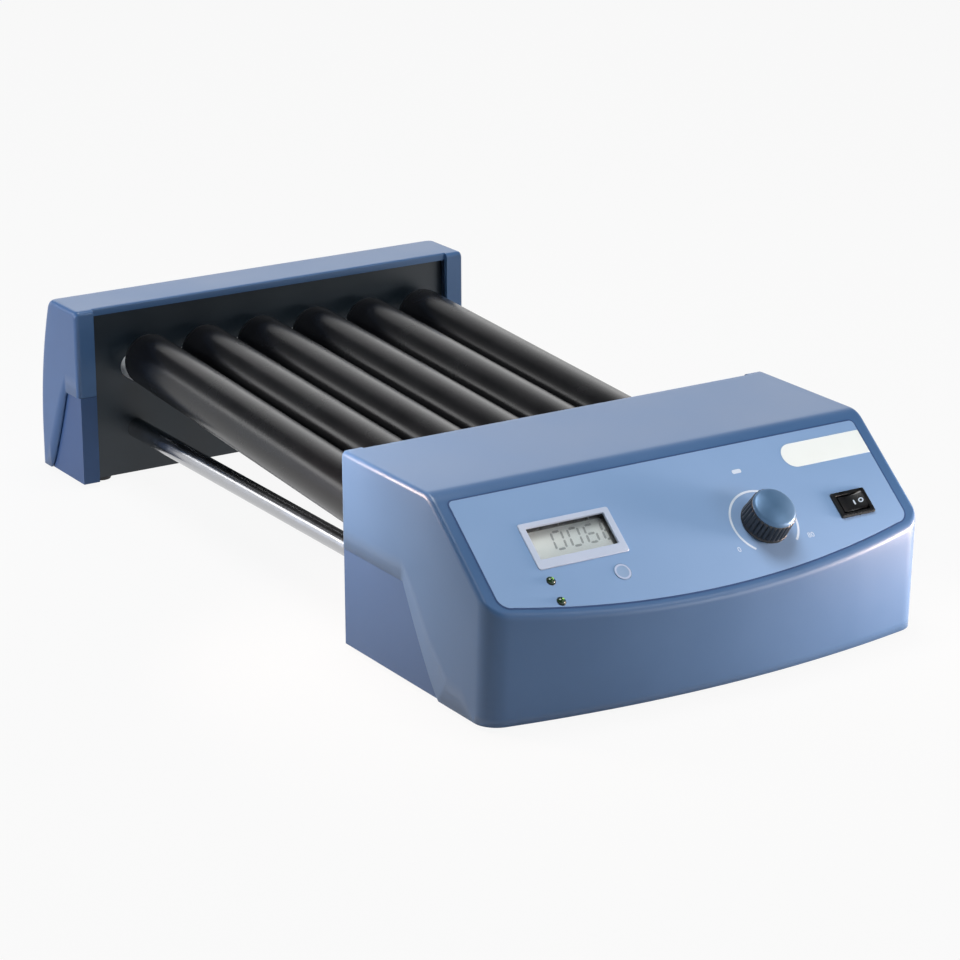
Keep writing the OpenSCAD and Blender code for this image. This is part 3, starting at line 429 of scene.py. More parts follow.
def inset(x, radius):
    # how far a quarter-round edge has fallen back at x: radius less the circle's height
    over = np.clip(np.abs(x) - (half - radius), 0, radius)
    return radius - np.sqrt(np.clip(radius ** 2 - over ** 2, 0, None))


def postFace(x, isPost, g):
    # the bed-side start of every column: inner lower point, lower point, rounded upper corner
    n = len(x)
    front = np.where(isPost, g, housing["rimSet"])
    low = np.where(isPost, housing["seamHeight"], housing["height"] - housing["rimThick"])
    inner = np.stack([np.full(n, housing["recess"]), low], -1)
    lower = np.stack([front, low], -1)
    upper = np.stack([front, housing["height"] - g], -1)
    back = upper + np.array([20.0, 0.0])
    radius = np.where(isPost, housing["edgeRound"] - 0.4, housing["rimRound"])
    return inner, lower, fillet(lower, upper, back, radius, 5)


def sideWall(x, profile, flat, foot, turnAt):
    # the flat side: straight rows from the last column's outline down to the seam, which runs
    # level, then falls as (1 - t) ** 1.2, then follows the underside
    edge = profile[-1]
    count = len(edge)
    lower = np.zeros_like(edge)
    start = int(np.where(edge[:turnAt, 0] <= flat)[0].max())
    i = np.arange(count)
    # the first three points, the post's underside and the foot of its face, keep their depth
    lower[:start + 1, 0] = edge[:start + 1, 0] * np.where(i[:start + 1] < 3, 1,
                                                         flat / edge[start, 0])
    lower[:start + 1, 1] = housing["seamHeight"]
    t = (i[start:turnAt + 1] - start) / (turnAt - start)
    lower[start:turnAt + 1, 0] = flat + (foot - flat) * t
    lower[start:turnAt + 1, 1] = housing["seamHeight"] * (1 - t) ** 1.2
    t = (i[turnAt:] - turnAt) / (count - 1 - turnAt)
    lower[turnAt:, 0] = foot + (edge[-1, 0] - foot) * t
    lower[turnAt:, 1] = 0.0
    steps = np.linspace(0, 1, 5)[1:, None, None]
    return edge + (lower - edge) * steps


def rowsBetween(start, end, steps):
    # straight on from start's last row to end, in even steps
    return start[:, -1:] + (end - start[:, -1:]) * np.linspace(0, 1, steps + 1)[1:, None]


def skinPiece(name, x, profile, side, face, direction, material, holes, nodes):
    # mirrors the columns to the left, adds both side walls, and maps (x, depth, height)
    sideX = np.full(len(side), x[-1])
    columns = np.concatenate([profile, side])
    xs = np.concatenate([x, sideX])
    columns = np.concatenate([columns[::-1], columns[1:]])
    xs = np.concatenate([-xs[::-1], xs[1:]])
    rows, count = columns.shape[:2]
    points = np.stack([np.repeat(xs[:, None], count, 1),
                       face + direction * columns[..., 0],
                       housing["foot"] + columns[..., 1]], -1)
    keep = np.ones((rows - 1, count - 1), bool)
    middle = (xs[1:] + xs[:-1]) / 2
    for lowX, highX, first, last in holes:
        keep[(middle > lowX) & (middle < highX), first:last] = False
    # a post's underside ends at the side wall's inner face
    keep[np.abs(middle) > half - housing["wall"], 0] = False
    piece = gridPiece(name, points, material, "base", smoothAngle=40, keep=keep)
    solidify(piece, housing["wall"])
    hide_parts(*nodes)
    return piece


# openings in the slope: width and height, then (middle x, middle s, width, height)
holeSizes = dict(display=(51.6, 24.8), key=(10.4, 10.4), knob=(8.2, 8.2), switch=(19.0, 12.8))
slopeHoles = [(*middles[name], *size) for name, size in holeSizes.items()]


def controlFront(x):
    # depth of the front wall at its foot: a long bow, then the upright corner's circle
    bowHalf = half - control["cornerRound"]
    middle = control["frontDepth"] + control["bow"]
    bowRadius = (bowHalf ** 2 + control["bow"] ** 2) / (2 * control["bow"])
    r = control["cornerRound"]
    cornerDepth = middle - bowRadius + math.sqrt((bowRadius - r) ** 2 - bowHalf ** 2)
    touch = bowHalf * bowRadius / (bowRadius - r)
    bowed = middle - bowRadius + np.sqrt(bowRadius ** 2 - x ** 2)
    rounded = cornerDepth + np.sqrt(np.clip(r ** 2 - np.clip(x - bowHalf, 0, r) ** 2, 0, None))
    return np.where(x < touch, bowed, rounded)


def lipDepth(foot, foldD, foldZ):
    # depth at which the slope from the fold meets the front wall, which leans out as it rises
    lean = math.tan(math.radians(control["lean"]))
    return (foot + (foldZ + foldD * tanA) * lean) / (1 + tanA * lean)


def makeControlSkin():
    # columns and rows of the grid run along the edges of the openings
    edges = [abs(x + side * w / 2) for x, s, w, h in slopeHoles for side in (-1, 1)]
    cuts = sorted({round(s + side * h / 2, 3) for x, s, w, h in slopeHoles for side in (-1, 1)})
    x, isPost = acrossStations(control["cornerRound"], edges)
    g = inset(x, housing["edgeRound"])
    inner, lower, corner = postFace(x, isPost, g)
    n = len(x)
    # fold: where the top, lowered by g, meets the slope, moved in by g
    foldD = control["foldDepth"] - g * (1 - cosA) / sinA
    fold = np.stack([foldD, housing["height"] - g], -1)
    upper = fold + np.array([-30.0, 0.0])
    down = fold + np.array([60 * cosA, -60 * sinA])
    foldArc = fillet(upper, fold, down, control["foldRound"] - g, 10)
    foot = controlFront(x)
    lipD = lipDepth(foot, fold[:, 0], fold[:, 1])
    lip = np.stack([lipD, fold[:, 1] - (lipD - fold[:, 0]) * tanA], -1)
    base = np.stack([foot, np.zeros(n)], -1)
    lipArc = fillet(fold, lip, base, np.full(n, control["lipRound"]), 8)
    top = rowsBetween(corner, foldArc[:, :1], 25)[:, :-1]
    # slope points at the openings' edges, the same distance down from the fold in every column
    zero = np.array([control["foldDepth"], housing["height"]])
    direction = np.array([cosA, -sinA])
    startS = ((foldArc[:, -1] - zero) * direction).sum(-1)
    endS = ((lipArc[:, 0] - zero) * direction).sum(-1)
    cutS = np.minimum(np.broadcast_to(cuts, (n, len(cuts))), endS[:, None] - 0.4)
    level = cutS[:, :, None] * direction + zero - g[:, None, None] * np.array([sinA, cosA])
    wall = rowsBetween(lipArc, base[:, None], 11)
    profile = np.concatenate([inner[:, None], lower[:, None], corner, top, foldArc, level,
                              lipArc, wall], 1)
    firstCut = 2 + corner.shape[1] + top.shape[1] + foldArc.shape[1]
    turnAt = firstCut + len(cuts) // 2
    side = sideWall(x, profile, control["seamFlat"], control["seamFoot"], turnAt)
    holes = [(x - w / 2, x + w / 2, firstCut + cuts.index(round(s - h / 2, 3)),
              firstCut + cuts.index(round(s + h / 2, 3))) for x, s, w, h in slopeHoles]
    return skinPiece("controlCoverSkin", x, profile, side, control["face"], -1, mouldedAbs,
                     holes, ["control_cover"])


def makeEndSkin():
    x, isPost = acrossStations(endBox["cornerRound"], [])
    g = inset(x, housing["edgeRound"])
    back = inset(x, endBox["cornerRound"])
    inner, lower, corner = postFace(x, isPost, g)
    n = len(x)
    # back: a large circle about a point low inside, met by the top with a rounding
    centre = np.array([endBox["depth"] - endBox["backRadius"], endBox["backHeight"]])
    big = endBox["backRadius"] - back
    small = endBox["topRound"] - g
    topZ = housing["height"] - g
    cz = topZ - small
    cd = centre[0] + np.sqrt((big - small) ** 2 - (cz - centre[1]) ** 2)
    meet = np.arctan2(cz - centre[1], cd - centre[0])
    t = np.linspace(0, 1, 9)
    a = math.pi / 2 + (meet[:, None] - math.pi / 2) * t
    roundArc = arc(cd[:, None], cz[:, None], small[:, None], a)
    t = np.linspace(0, 1, 18)[1:]
    a = meet[:, None] * (1 - t)
    backArc = arc(*centre, big[:, None], a)
    end = np.stack([endBox["depth"] - back, np.zeros(n)], -1)
    tail = rowsBetween(backArc, end[:, None], 4)
    top = rowsBetween(corner, roundArc[:, :1], 13)[:, :-1]
    profile = np.concatenate([inner[:, None], lower[:, None], corner, top, roundArc, backArc,
                              tail], 1)
    turnAt = 2 + corner.shape[1] + top.shape[1] + roundArc.shape[1] + 5
    side = sideWall(x, profile, endBox["seamFlat"], endBox["seamFoot"], turnAt)
    return skinPiece("endCoverSkin", x, profile, side, endBox["face"], 1, mouldedAbs, [],
                     ["end_cover"])


controlSkin = makeControlSkin()
endSkin = makeEndSkin()
print("housing skins made")

# overlay and its print

overlay = dict(side=8.6, top=6.1, lip=5.1, cornerRound=6.9, upperRound=2.4, lineWidth=0.9,
               lamps=[(-93.0, 61.4), (-93.0, 73.6)], printHeight=0.27)


def lipDown(x):
    # distance down the slope from the fold to the lip, at x
    depth = lipDepth(controlFront(np.abs(x)), control["foldDepth"], housing["height"])
    return (depth - control["foldDepth"]) / cosA


def overlayLoop(grow):
    # sides and top straight, lower edge following the lip, all corners rounded
    x = half - overlay["side"] + grow
    r, ru = overlay["cornerRound"] + grow, overlay["upperRound"] + grow
    top = overlay["top"] - grow
    u = np.linspace(-(x - r), x - r, 41)
    low = np.stack([u, lipDown(u) - overlay["lip"] + grow], -1)
    sideS = low[0, 1] - r
    a = np.linspace(math.pi, math.radians(98), 8)
    left = arc(-x + r, sideS, r, a)
    right = left[::-1] * np.array([-1, 1])
    b = np.linspace(0, -math.pi / 2, 6)
    upRight = arc(x - ru, top + ru, ru, b)
    upLeft = upRight[::-1] * np.array([-1, 1])
    return np.concatenate([left, low, right, upRight, upLeft])


# holes for the display, the key, the knob's shaft, the switch and the lamps
filmHoles = [
    roundRect(52.9, 26.2, 1.0, *middles["display"]), circle(4.85, *middles["key"]),
    circle(3.9, *middles["knob"]), roundRect(20.2, 13.8, 0.6, *middles["switch"])]
filmHoles += [circle(2.5, x, s, 24) for x, s in overlay["lamps"]]
# a deep blue sheet under the film, a little wider than it: the rim that shows is painted shade of
# the gap round the film
gapShadeSheet = flatPiece("overlayGapShade", [overlayLoop(overlay["lineWidth"])] + filmHoles, paintedGapShade,
                   "base", thickness=0.1, height=0.06)
film = flatPiece("overlayFilm", [overlayLoop(0.0)] + filmHoles, printedFilm, "base",
                 thickness=0.24, height=0.13)
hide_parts("control_overlay")


def strokeLoop(points, width):
    # a ribbon of even width along an open line, its two sides joined into one outline
    step = np.gradient(points, axis=0)
    step /= np.linalg.norm(step, axis=1, keepdims=True)
    across = np.stack([-step[:, 1], step[:, 0]], -1) * width / 2
    return np.concatenate([points + across, (points - across)[::-1]])


dial = dict(x=41.45, s=54.6, radius=19.2, width=1.2, start=-138.0, stop=137.0, figures=4.2,
            lowPlace=(18.9, 67.2), highPlace=(64.2, 67.8), mark=(5.6, 2.4, 0.9, 41.5, 22.4))
a = np.radians(np.linspace(dial["start"], dial["stop"], 60))
dialLine = np.stack([dial["x"] + dial["radius"] * np.sin(a),
                     dial["s"] - dial["radius"] * np.cos(a)], -1)
dialArc = flatPiece("dialArc", [strokeLoop(dialLine, dial["width"])], whiteInk, "base",
                    thickness=0.04, height=overlay["printHeight"])
dialMark = flatPiece("dialMark", [roundRect(*dial["mark"])], whiteInk, "base",
                     thickness=0.04, height=overlay["printHeight"])


def numeral(text, x, s, name):
    # generic figures from Blender's own font, laid on the slope
    curve = bpy.data.curves.new(name + "Text", "FONT")
    curve.body = text
    curve.size = dial["figures"] * mm
    curve.align_x = "CENTER"
    curve.align_y = "CENTER"
    curve.extrude = 0.02 * mm
    return laidPiece(name, curve, whiteInk, "base", overlay["printHeight"], x, s)


dialLow = numeral("0", *dial["lowPlace"], "dialZero")
dialHigh = numeral("80", *dial["highPlace"], "dialEighty")

# blank plate: half round at its left end, cut square at the film's right edge
plate = dict(left=72.6, s=19.9, height=14.6, right=half - overlay["side"] - 0.1)
r = plate["height"] / 2
a = np.linspace(math.pi / 2, 3 * math.pi / 2, 25)
plateLoop = np.concatenate([
    arc(plate["left"] + r, plate["s"], r, a),
    [[plate["right"], plate["s"] - r], [plate["right"], plate["s"] + r]]])
namePlate = flatPiece("blankPlate", [plateLoop], whiteLabel, "base", thickness=0.12, height=0.29)
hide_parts("name_plate")
print("overlay printed")

# display

display = dict(width=54.2, height=27.4, side=3.8, head=3.0, sill=5.6, depth=3.2, rise=0.8)


def makeDisplay():
    # a thin frame round a black well, whose black walls are painted shade of the deep surround;
    # the cell lies at the well's foot
    d = display
    x, s = middles["display"]
    w, h, deep = d["width"], d["height"], -d["depth"]
    openW, openH = w - 2 * d["side"], h - d["head"] - d["sill"]
    shift = (d["head"] - d["sill"]) / 2
    face = [(w, h, 1.3, 0, 0.12), (w, h, 1.3, 0, d["rise"] - 0.25),
            (w - 0.5, h - 0.5, 1.1, 0, d["rise"]),
            (openW + 0.6, openH + 0.6, 0.8, shift, d["rise"]),
            (openW, openH, 0.6, shift, d["rise"] - 0.3), (openW, openH, 0.6, shift, -0.5),
            (w - 2.6, h - 2.6, 0.8, 0, -0.5), (w - 2.6, h - 2.6, 0.8, 0, 0.12)]
    frameFace = slopeRings("displayFrame", x, s, face, paleAbs, "base")
    # black walls down to the cell: painted shade inside the deep surround
    shadeWellRings = [(openW + 0.4, openH + 0.4, 0.6, shift, -0.5),
                 (openW - 0.6, openH - 0.6, 0.4, shift, deep),
                 (openW - 0.6, openH - 0.6, 0.4, shift, deep - 0.6),
                 (w - 3.0, h - 3.0, 0.6, 0, deep - 0.6), (w - 3.0, h - 3.0, 0.6, 0, -0.5)]
    shadeWell = slopeRings("displayShadeWell", x, s, shadeWellRings, blackNylon, "base")
    glass = flatPiece("displayCell", [roundRect(w - 3.4, h - 3.4, 0.4, x, s)], lcdGlass, "base",
                      thickness=2.0, height=deep - 1.7)
    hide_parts("display_frame")
    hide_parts("display_cell")


makeDisplay()


def segmentLoops(digit, x, s, width, height, bar, slant):
    # the lit bars of a seven-bar figure, each a six-sided bar with pointed ends
    w, h, b = width / 2, height / 2, bar / 2
    level = dict(a=-h, g=0.0, d=h)
    upright = dict(f=(-w, -h / 2), b=(w, -h / 2), e=(-w, h / 2), c=(w, h / 2))
    loops = []
    for name in {"0": "abcdef", "6": "acdefg"}[digit]:
        if name in level:
            y, e = level[name], w - b - 0.15
            bars = np.array([[-e, y], [-e + b, y - b], [e - b, y - b], [e, y], [e - b, y + b],
                             [-e + b, y + b]])
        else:
            cx, cy = upright[name]
            e = h / 2 - 0.2
            bars = np.array([[cx, cy - e], [cx + b, cy - e + b], [cx + b, cy + e - b],
                             [cx, cy + e], [cx - b, cy + e - b], [cx - b, cy - e + b]])
        bars[:, 0] -= slant * bars[:, 1]
        loops.append(bars + [x, s])
    return loops


figures = dict(text="0066", x=-74.8, s=37.9, width=6.0, height=10.2, bar=1.3, pitch=9.8,
               slant=0.09)
figureLoops = []
for k, digit in enumerate(figures["text"]):
    figureLoops += segmentLoops(digit, figures["x"] + k * figures["pitch"], figures["s"],
                                figures["width"], figures["height"], figures["bar"],
                                figures["slant"])
readout = flatPiece("displayFigures", figureLoops, segmentInk, "base",
                    thickness=0.04, height=-display["depth"] - 0.66)
print("display made")

# knob

knob = dict(bore=4.0, footRadius=13.3, gripFoot=13.2, gripTop=12.6, gripHigh=12.4, ribs=30,
            ribDepth=0.06, capRadius=12.1, capShoulder=2.6, shoulderHigh=12.3, capSlope=18.0,
            gap=0.6)


def makeKnob():
    # skirt: a foot flange, then a grip whose radius carries round-topped ribs
    k = knob
    foot, gap, high, bore = k["footRadius"], k["gap"], k["gripHigh"], k["bore"]
    profile = [(bore, gap), (foot + 0.1, gap), (foot, gap + 0.3), (foot, gap + 0.9),
               (foot - 0.35, gap + 1.2)]
    first = len(profile)
    profile += [(k["gripFoot"] + (k["gripTop"] - k["gripFoot"]) * t,
                 gap + 1.3 + (high - gap - 1.3) * t) for t in np.linspace(0, 1, 9)]
    last = len(profile)
    profile += [(k["gripTop"] - 0.35, high + 0.35), (k["capRadius"], high + 0.5),
                (bore, high + 0.5)]

    def ribs(angle, row):
        # |sin| of half the rib count gives round ribs with sharp valleys; they fade at both ends
        depth = k["ribDepth"] * np.clip((row - first + 0.6) / 1.2, 0, 1) \
            * np.clip((last - row - 0.2) / 1.0, 0, 1)
        return 1 - depth * (1 - np.abs(np.sin(angle * k["ribs"] / 2))) ** 1.3

    place = standAt(*middles["knob"])
    skirt = revolve("knobSkirt", profile, place, knobPhenolic, "knob", k["ribs"] * 10, ribs, 50)
    # cap: a short wall, a rounded shoulder, then a shallow dome that takes up its slope
    r = k["capShoulder"]
    shoulder = [(k["capRadius"] - r + r * math.cos(t), k["shoulderHigh"] + r * math.sin(t))
                for t in np.radians(np.linspace(0, 90 - k["capSlope"], 9))]
    edgeR, edgeH = shoulder[-1]
    slope = math.radians(k["capSlope"])
    domeR = edgeR / math.sin(slope)
    dome = [(domeR * math.sin(t), edgeH + domeR * (math.cos(t) - math.cos(slope)))
            for t in np.radians(np.linspace(k["capSlope"], 0.4, 10))[1:]]
    capProfile = [(bore, high + 0.4), (k["capRadius"], high + 0.4)] + shoulder + dome \
        + [(0.0, dome[-1][1])]
    cap = revolve("knobCapDome", capProfile, place, anodised, "knob", 96)
    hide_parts("speed_knob")
    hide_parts("knob_cap")


makeKnob()

# key and lamps

key = dict(radius=4.7, flange=5.5, low=-5.0, ringOut=4.45, ringIn=3.5)
# the small spot's radius and its offset towards the upper right: a painted highlight on each lens
lamp = dict(radius=2.2, low=-9.0, dome=1.5, ring=2.6, highlightSpot=0.85, highlightShift=(0.75, -0.55))


def makeKey():
    # a low cap that sinks a little towards its middle, on a flange under the panel
    r, flange, low = key["radius"], key["flange"], key["low"]
    profile = [(0.0, low), (flange, low), (flange, low + 1.0), (r, low + 1.1), (r, 0.2),
               (r - 0.15, 0.42), (r - 0.5, 0.5), (3.0, 0.44), (1.5, 0.4), (0.0, 0.38)]
    cap = revolve("keyButton", profile, standAt(*middles["key"]), keyAbs, "key", 64)
    ringLoops = [circle(key[edge], *middles["key"]) for edge in ("ringOut", "ringIn")]
    ring = flatPiece("keyRing", ringLoops, ringInk, "key", thickness=0.05, height=0.49)
    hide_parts("set_key")


def makeLamp(number, x, s):
    # a domed lens in a black ring, with a faintly glowing spot towards its upper right: a painted
    # highlight
    place = standAt(x, s)
    highlightPlace = standAt(x + lamp["highlightShift"][0], s + lamp["highlightShift"][1])
    r, low = lamp["radius"], lamp["low"]
    lensProfile = [(0.0, low), (r, low), (r, 0.1)] \
        + [(r * math.cos(t), 0.15 + lamp["dome"] * math.sin(t))
           for t in np.radians(np.linspace(8, 88, 8))] + [(0.0, 0.15 + lamp["dome"])]
    ringProfile = [(r, 0.1), (r, 0.4), (r + 0.15, 0.55), (r + 0.3, 0.45), (lamp["ring"], 0.1),
                   (r, 0.1)]
    highlightProfile = [(0.0, 0.4)] + [(lamp["highlightSpot"] * math.cos(t), 1.15 + 0.45 * math.sin(t))
                                  for t in np.radians(np.linspace(0, 90, 6))]
    lens = revolve(f"lampLens{number}", lensProfile, place, lampLens, "base", 32)
    ring = revolve(f"lampRing{number}", ringProfile, place, blackNylon, "base", 32)
    highlightSpot = revolve(f"lampHighlight{number}", highlightProfile, highlightPlace, paintedHighlightGlow, "base", 24)
    return lens


makeKey()
lenses = [makeLamp(number, x, s) for number, (x, s) in enumerate(overlay["lamps"], 1)]
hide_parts("status_lamps")
print("knob, key and lamps made")

# rocker switch

switch = dict(width=21.8, height=15.3, openW=16.6, openH=10.6, rise=1.6, shellW=18.6,
              shellH=12.4, low=-8.8)
rocker = dict(length=7.3, breadth=4.5, tilt=8.0, pivot=-2.5, hollow=0.35, proud=1.1,
              onMark=1.3, onSize=(0.9, 2.9, 0.4), offMark=5.0, offRadii=(1.35, 0.75), markS=0.2)


def makeSwitch():
    # bezel with rounded rim, its shell through the panel, and a floor that closes it
    d = switch
    x, s = middles["switch"]
    w, h, openW, openH, rise = d["width"], d["height"], d["openW"], d["openH"], d["rise"]
    rings = [(w, h, 1.0, 0.12), (w, h, 1.0, rise - 0.5), (w - 0.5, h - 0.5, 0.9, rise - 0.12),
             (w - 1.1, h - 1.1, 0.7, rise), (openW + 0.6, openH + 0.6, 0.5, rise),
             (openW + 0.1, openH + 0.1, 0.4, rise - 0.35), (openW, openH, 0.3, d["low"]),
             (d["shellW"], d["shellH"], 0.3, d["low"]), (d["shellW"], d["shellH"], 0.3, 0.12)]
    bezel = slopeRings("switchBezel", x, s, [(*ring[:3], 0, ring[3]) for ring in rings],
                       blackNylon, "base")
    bottom = flatPiece("switchWell", [roundRect(openW + 0.6, openH + 0.6, 0.3, x, s)],
                       blackNylon, "base", thickness=0.4, height=d["low"] - 0.1)
    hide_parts("switch_frame")


def rockerTop(u):
    # height over the pivot along the rocker: two shallow hollows that meet in the middle
    dip = rocker["length"] * math.tan(math.radians(rocker["tilt"] + 4))
    v = np.abs(u)
    return switch["rise"] + rocker["proud"] - rocker["pivot"] - dip * (1 - v) \
        - rocker["hollow"] * np.sin(math.pi * v)


def onRockerPlane(along, s, up):
    # along and up turn with the rocker's tilt about its pivot; s runs along the pivot
    tilt = math.radians(rocker["tilt"])
    x0, s0 = middles["switch"]
    return onSlope(x0 + along * math.cos(tilt) - up * math.sin(tilt), s0 + s,
                   rocker["pivot"] + along * math.sin(tilt) + up * math.cos(tilt))


def makeRocker():
    # a body swept across: outline in the (along, up) plane, rounded at both long edges
    length, breadth = rocker["length"], rocker["breadth"]
    u = np.linspace(-1, 1, 41)
    top = np.stack([u * length, rockerTop(u)], -1)
    low = np.array([[length, -1.0], [2.0, -4.4], [-2.0, -4.4], [-length, -1.0]])
    outline = np.concatenate([top, low])
    middle = np.array([0.0, 1.0])
    edge = breadth - np.array([0, 0, 0.15, 0.5])
    across = np.concatenate([-edge, edge[::-1]])
    scale = 1 - np.array([6.0, 0.4, 0.12, 0.0, 0.0, 0.12, 0.4, 6.0]) / 6.0
    ring = middle + (outline - middle) * scale[:, None, None]
    points = onRockerPlane(ring[..., 0], across[:, None], ring[..., 1])
    body = gridPiece("switchRocker", points, blackNylon, "rocker", closeColumns=True,
                     smoothAngle=30)
    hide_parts("switch_rocker")


def rockerMark(name, loops):
    # print laid flat, then carried onto the rocker's tilted, hollowed top
    piece = flatPiece(name, loops, whiteInk, "rocker", thickness=0.05, height=0.0)
    points = readPoints(piece.data)
    y = points[:, 1] - control["face"] + control["foldDepth"]
    z = points[:, 2] - topHeight
    s, h = -y * cosA - z * sinA, z * cosA - y * sinA
    up = rockerTop(points[:, 0] / rocker["length"]) + 0.03 + h
    writePoints(piece.data, onRockerPlane(points[:, 0], s, up))


makeSwitch()
makeRocker()
rockerMark("rockerOnMark", [roundRect(*rocker["onSize"], rocker["onMark"], rocker["markS"])])
rockerMark("rockerOffMark", [circle(radius, rocker["offMark"], rocker["markS"], 24)
                             for radius in rocker["offRadii"]])
print("switch made")

# rollers


def makeRoller(number):
    # a tube carried along an axis that leans because its shafts are offset at both ends
    x0 = (number - (roller["count"] + 1) / 2) * (roller["diameter"] + roller["gap"])
    length = roller["bedLength"] - 2 * roller["endGap"]
    lean = math.asin(2 * roller["throw"] / length)
    r, c, e, lap = roller["diameter"] / 2, roller["chamfer"], length / 2, roller["lap"]
    bore = r - roller["wall"]
    arc = np.radians(np.linspace(0, 90, 5))
    near = [(r - c + c * math.sin(t), -e + c - c * math.cos(t)) for t in arc]
    far = [(r - c + c * math.cos(t), e - c + c * math.sin(t)) for t in arc]
    body = [(r, v) for v in np.linspace(-e + c, e - c, 24)[1:-1]]
    profile = [(bore, -e + lap), (bore, -e)] + near + body + far + [(bore, e), (bore, e - lap)]
    turn = math.radians(roller["phase"])

    def place(px, py, h):
        # lean about x, then turn about the shafts' common axis
        y = h * math.cos(lean) - py * math.sin(lean)
        z = h * math.sin(lean) + py * math.cos(lean)
        return np.stack([x0 + px * math.cos(turn) + z * math.sin(turn), bedMiddle + y,
                         roller["axisHeight"] + z * math.cos(turn) - px * math.sin(turn)], -1)

    piece = revolve(f"rollerSleeve{number}", profile, place, rollerSleeve, f"roller_{number}", 96)
    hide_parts(f"roller_tube_{number}")


for number in range(1, roller["count"] + 1):
    makeRoller(number)
print("rollers made")

# materials of the pieces that keep their CAD shape

# the trays take the darker copy of the cover's ABS, which is painted shade
cadMaterials = dict(
    control_tray=shadedTrayAbs, end_tray=shadedTrayAbs, control_bearing_panel=pvcSheet,
    end_bearing_panel=pvcSheet, display_window=acrylic, panel_board=circuitBoard,
    key_switch=epoxyCase, pot_shaft=zincPlate, pot_body=zincPlate, pot_nut=zincPlate,
    power_inlet=blackNylon, inlet_pins=zincPlate, main_board=circuitBoard,
    board_parts=epoxyCase, power_module=epoxyCase, drive_plate=zincPlate,
    plate_pillars=zincPlate, shaft_bearings=polishedBar, control_bushes=acetal,
    end_bushes=acetal, gear_motor=zincPlate, motor_screws=zincPlate, motor_shaft=polishedBar,
    motor_pulley=turnedAluminium, motor_belt=nitrile, link_belts=nitrile,
    left_tie_rod=polishedBar, right_tie_rod=polishedBar, rod_screws=zincPlate,
    rubber_feet=nitrile, cover_screws=zincPlate)
for number in range(1, roller["count"] + 1):
    cadMaterials[f"roller_shafts_{number}"] = blackenedSteel
for node, material in cadMaterials.items():
    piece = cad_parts[node]
    if not piece.material_slots:
        piece.data.materials.append(material)
    for slot in piece.material_slots:
        slot.link = "OBJECT"
        slot.material = material
print("CAD pieces painted:", len(cadMaterials))

# floor, light and camera

# floor: pale matt board; most of what lens, metal and glass see of it is plain white backdrop
floorMaterial = bpy.data.materials.new("paleStudioFloor")
floorMaterial.use_nodes = True
tree = floorMaterial.node_tree
shader = tree.nodes["Principled BSDF"]
shader.inputs["Base Color"].default_value = srgb("#b8b8b8")
shader.inputs["Roughness"].default_value = 0.9


def seenRays(tree):
    # 1 for rays from the lens, off shiny surfaces and through clear ones, else 0
    path = addNode(tree, "ShaderNodeLightPath")
    some = addNode(tree, "ShaderNodeMath", dict(operation="MAXIMUM"),
                   in0=path.outputs["Is Camera Ray"], in1=path.outputs["Is Glossy Ray"])
    return addNode(tree, "ShaderNodeMath", dict(operation="MAXIMUM"), in0=some.outputs[0],
                   in1=path.outputs["Is Transmission Ray"]).outputs[0]


backdropShare = 0.92  # the rest is the board itself, which keeps the shadow
share = addNode(tree, "ShaderNodeMath", dict(operation="MULTIPLY"), in0=seenRays(tree),
                in1=backdropShare)
glow = addNode(tree, "ShaderNodeEmission", Color=(1, 1, 1, 1), Strength=1.0)
blend = addNode(tree, "ShaderNodeMixShader", in0=share.outputs[0], in1=shader.outputs[0],
                in2=glow.outputs[0])
tree.links.new(blend.outputs[0], tree.nodes["Material Output"].inputs["Surface"])
floorMesh = bpy.data.meshes.new("studioFloor")
span = 6.0
floorMesh.from_pydata([(-span, -span, 0), (span, -span, 0), (span, span, 0), (-span, span, 0)],
                      [], [(0, 1, 2, 3)])
floorMesh.materials.append(floorMaterial)
floor = bpy.data.objects.new("studioFloor", floorMesh)
scene.collection.objects.link(floor)

# world: white towards the horizon, dim overhead; as light on dull surfaces it stays low
world = bpy.data.worlds.new("studioWorld")
scene.world = world
world.use_nodes = True
tree = world.node_tree
background = tree.nodes["Background"]
background.inputs["Color"].default_value = (1, 1, 1, 1)
direction = addNode(tree, "ShaderNodeSeparateXYZ",
                    Vector=addNode(tree, "ShaderNodeTexCoord").outputs["Generated"])
height = addNode(tree, "ShaderNodeMapRange", dict(interpolation_type="SMOOTHSTEP"),
                 Value=direction.outputs["Z"], in1=0.15, in2=0.55, in3=1.0, in4=0.06)
level = addNode(tree, "ShaderNodeMix", dict(data_type="FLOAT"), in0=seenRays(tree), in2=0.05,
                in3=height.outputs[0])
tree.links.new(level.outputs[0], background.inputs["Strength"])


def softLight(name, place, target, size, power, tone="#ffffff", spread=180):
    # a rectangular panel at place, in metres, that faces target and that the lens doesn't see
    light = bpy.data.lights.new(name, "AREA")
    light.shape = "RECTANGLE"
    light.size, light.size_y = size
    light.energy = power
    light.color = srgb(tone)[:3]
    light.spread = math.radians(spread)
    panel = bpy.data.objects.new(name, light)
    panel.location = place
    panel.visible_camera = False
    panel.rotation_euler = (Vector(target) - Vector(place)).to_track_quat("-Z", "Y").to_euler()
    scene.collection.objects.link(panel)


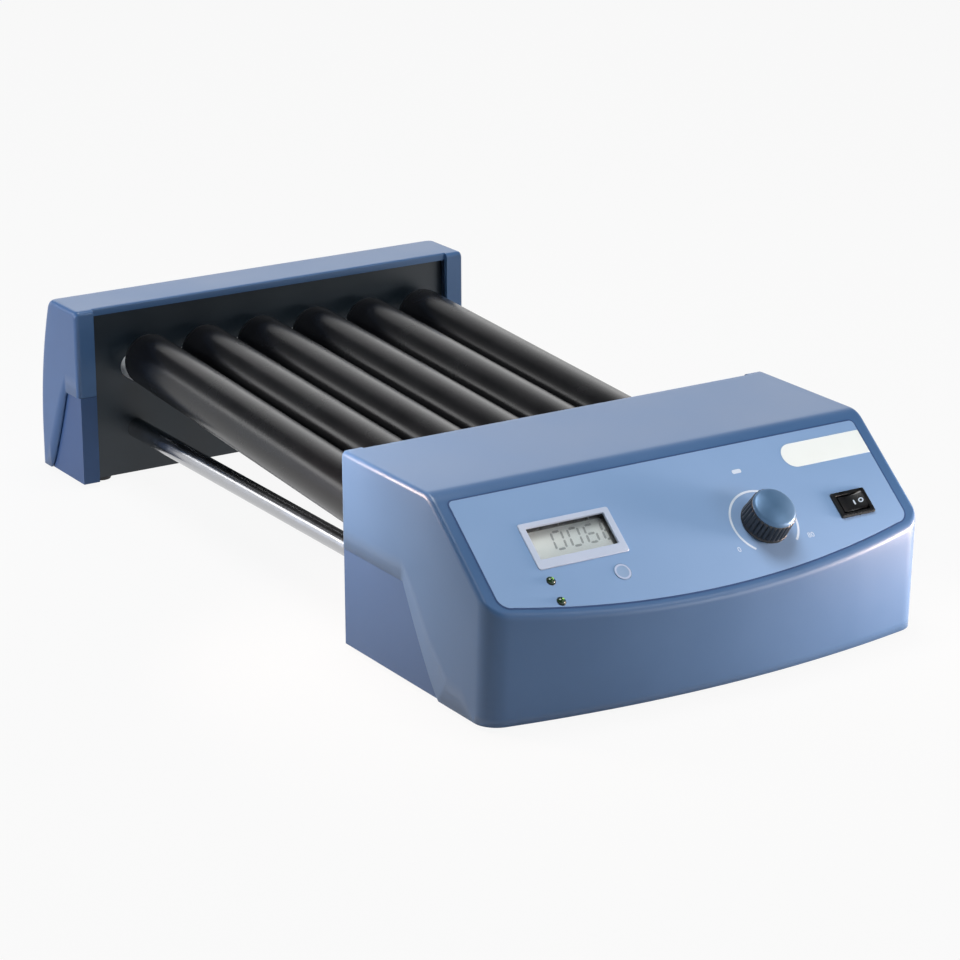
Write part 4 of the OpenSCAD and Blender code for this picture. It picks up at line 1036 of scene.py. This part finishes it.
softLight("overheadPanel", (-0.05, 0.0, 1.5), (0, -0.1, 0.05), (0.7, 0.7), 18)
softLight("backPanel", (0.9, 1.6, 0.85), (0, 0, 0.05), (1.8, 0.9), 5.0)
softLight("backLeftPanel", (-0.75, 1.05, 0.5), (-0.1, 0, 0.05), (0.35, 0.2), 0.9)
softLight("frontPanel", (0.9, -1.3, 1.2), (0, -0.25, 0.06), (0.35, 0.35), 3.6)
softLight("lowFrontPanel", (0.45, -0.85, 0.13), (0.05, -0.26, 0.05), (0.4, 0.12), 1.0,
          "#f4f9ff")
softLight("rightPanel", (0.33, -0.35, 0.03), (0.02, -0.27, 0.045), (0.14, 0.05), 0.46,
          "#ffe2d0", 70)
softLight("leftPanel", (-0.25, -0.05, 0.15), (-0.135, -0.125, 0.09), (0.08, 0.08), 0.30,
          "#ffdcc8", 110)
softLight("endPanel", (-0.5, 0.35, 0.15), (-0.135, 0.24, 0.06), (0.25, 0.25), 0.25, "#d0e0ff", 80)

# camera: 18.3 degrees above level and 32 degrees round to the left, with a long lens
cameraPlace = dict(azimuth=-31.97, elevation=18.26, roll=-0.26, distance=1935.5, lens=126.685,
                   sensor=36.0, target=(20.4, 4.982, 34.75))
az, el, ro = (math.radians(cameraPlace[k]) for k in ("azimuth", "elevation", "roll"))
back = Vector((math.sin(az) * math.cos(el), -math.cos(az) * math.cos(el), math.sin(el)))
sideways = Vector((0, 0, 1)).cross(back).normalized()
upward = back.cross(sideways)
turnedX = sideways * math.cos(ro) + upward * math.sin(ro)
turnedY = -sideways * math.sin(ro) + upward * math.cos(ro)
cameraData = bpy.data.cameras.new("mainCamera")
cameraData.lens = cameraPlace["lens"]
cameraData.sensor_width = cameraPlace["sensor"]
cameraData.clip_start, cameraData.clip_end = 0.05, 50
camera = bpy.data.objects.new("mainCamera", cameraData)
matrix = Matrix((turnedX, turnedY, back)).transposed().to_4x4()
matrix.translation = Vector(cameraPlace["target"]) * mm + back * cameraPlace["distance"] * mm
camera.matrix_world = matrix
scene.collection.objects.link(camera)
scene.camera = camera
scene.view_settings.view_transform = "Standard"

bpy.context.view_layer.update()
print("pieces ready")
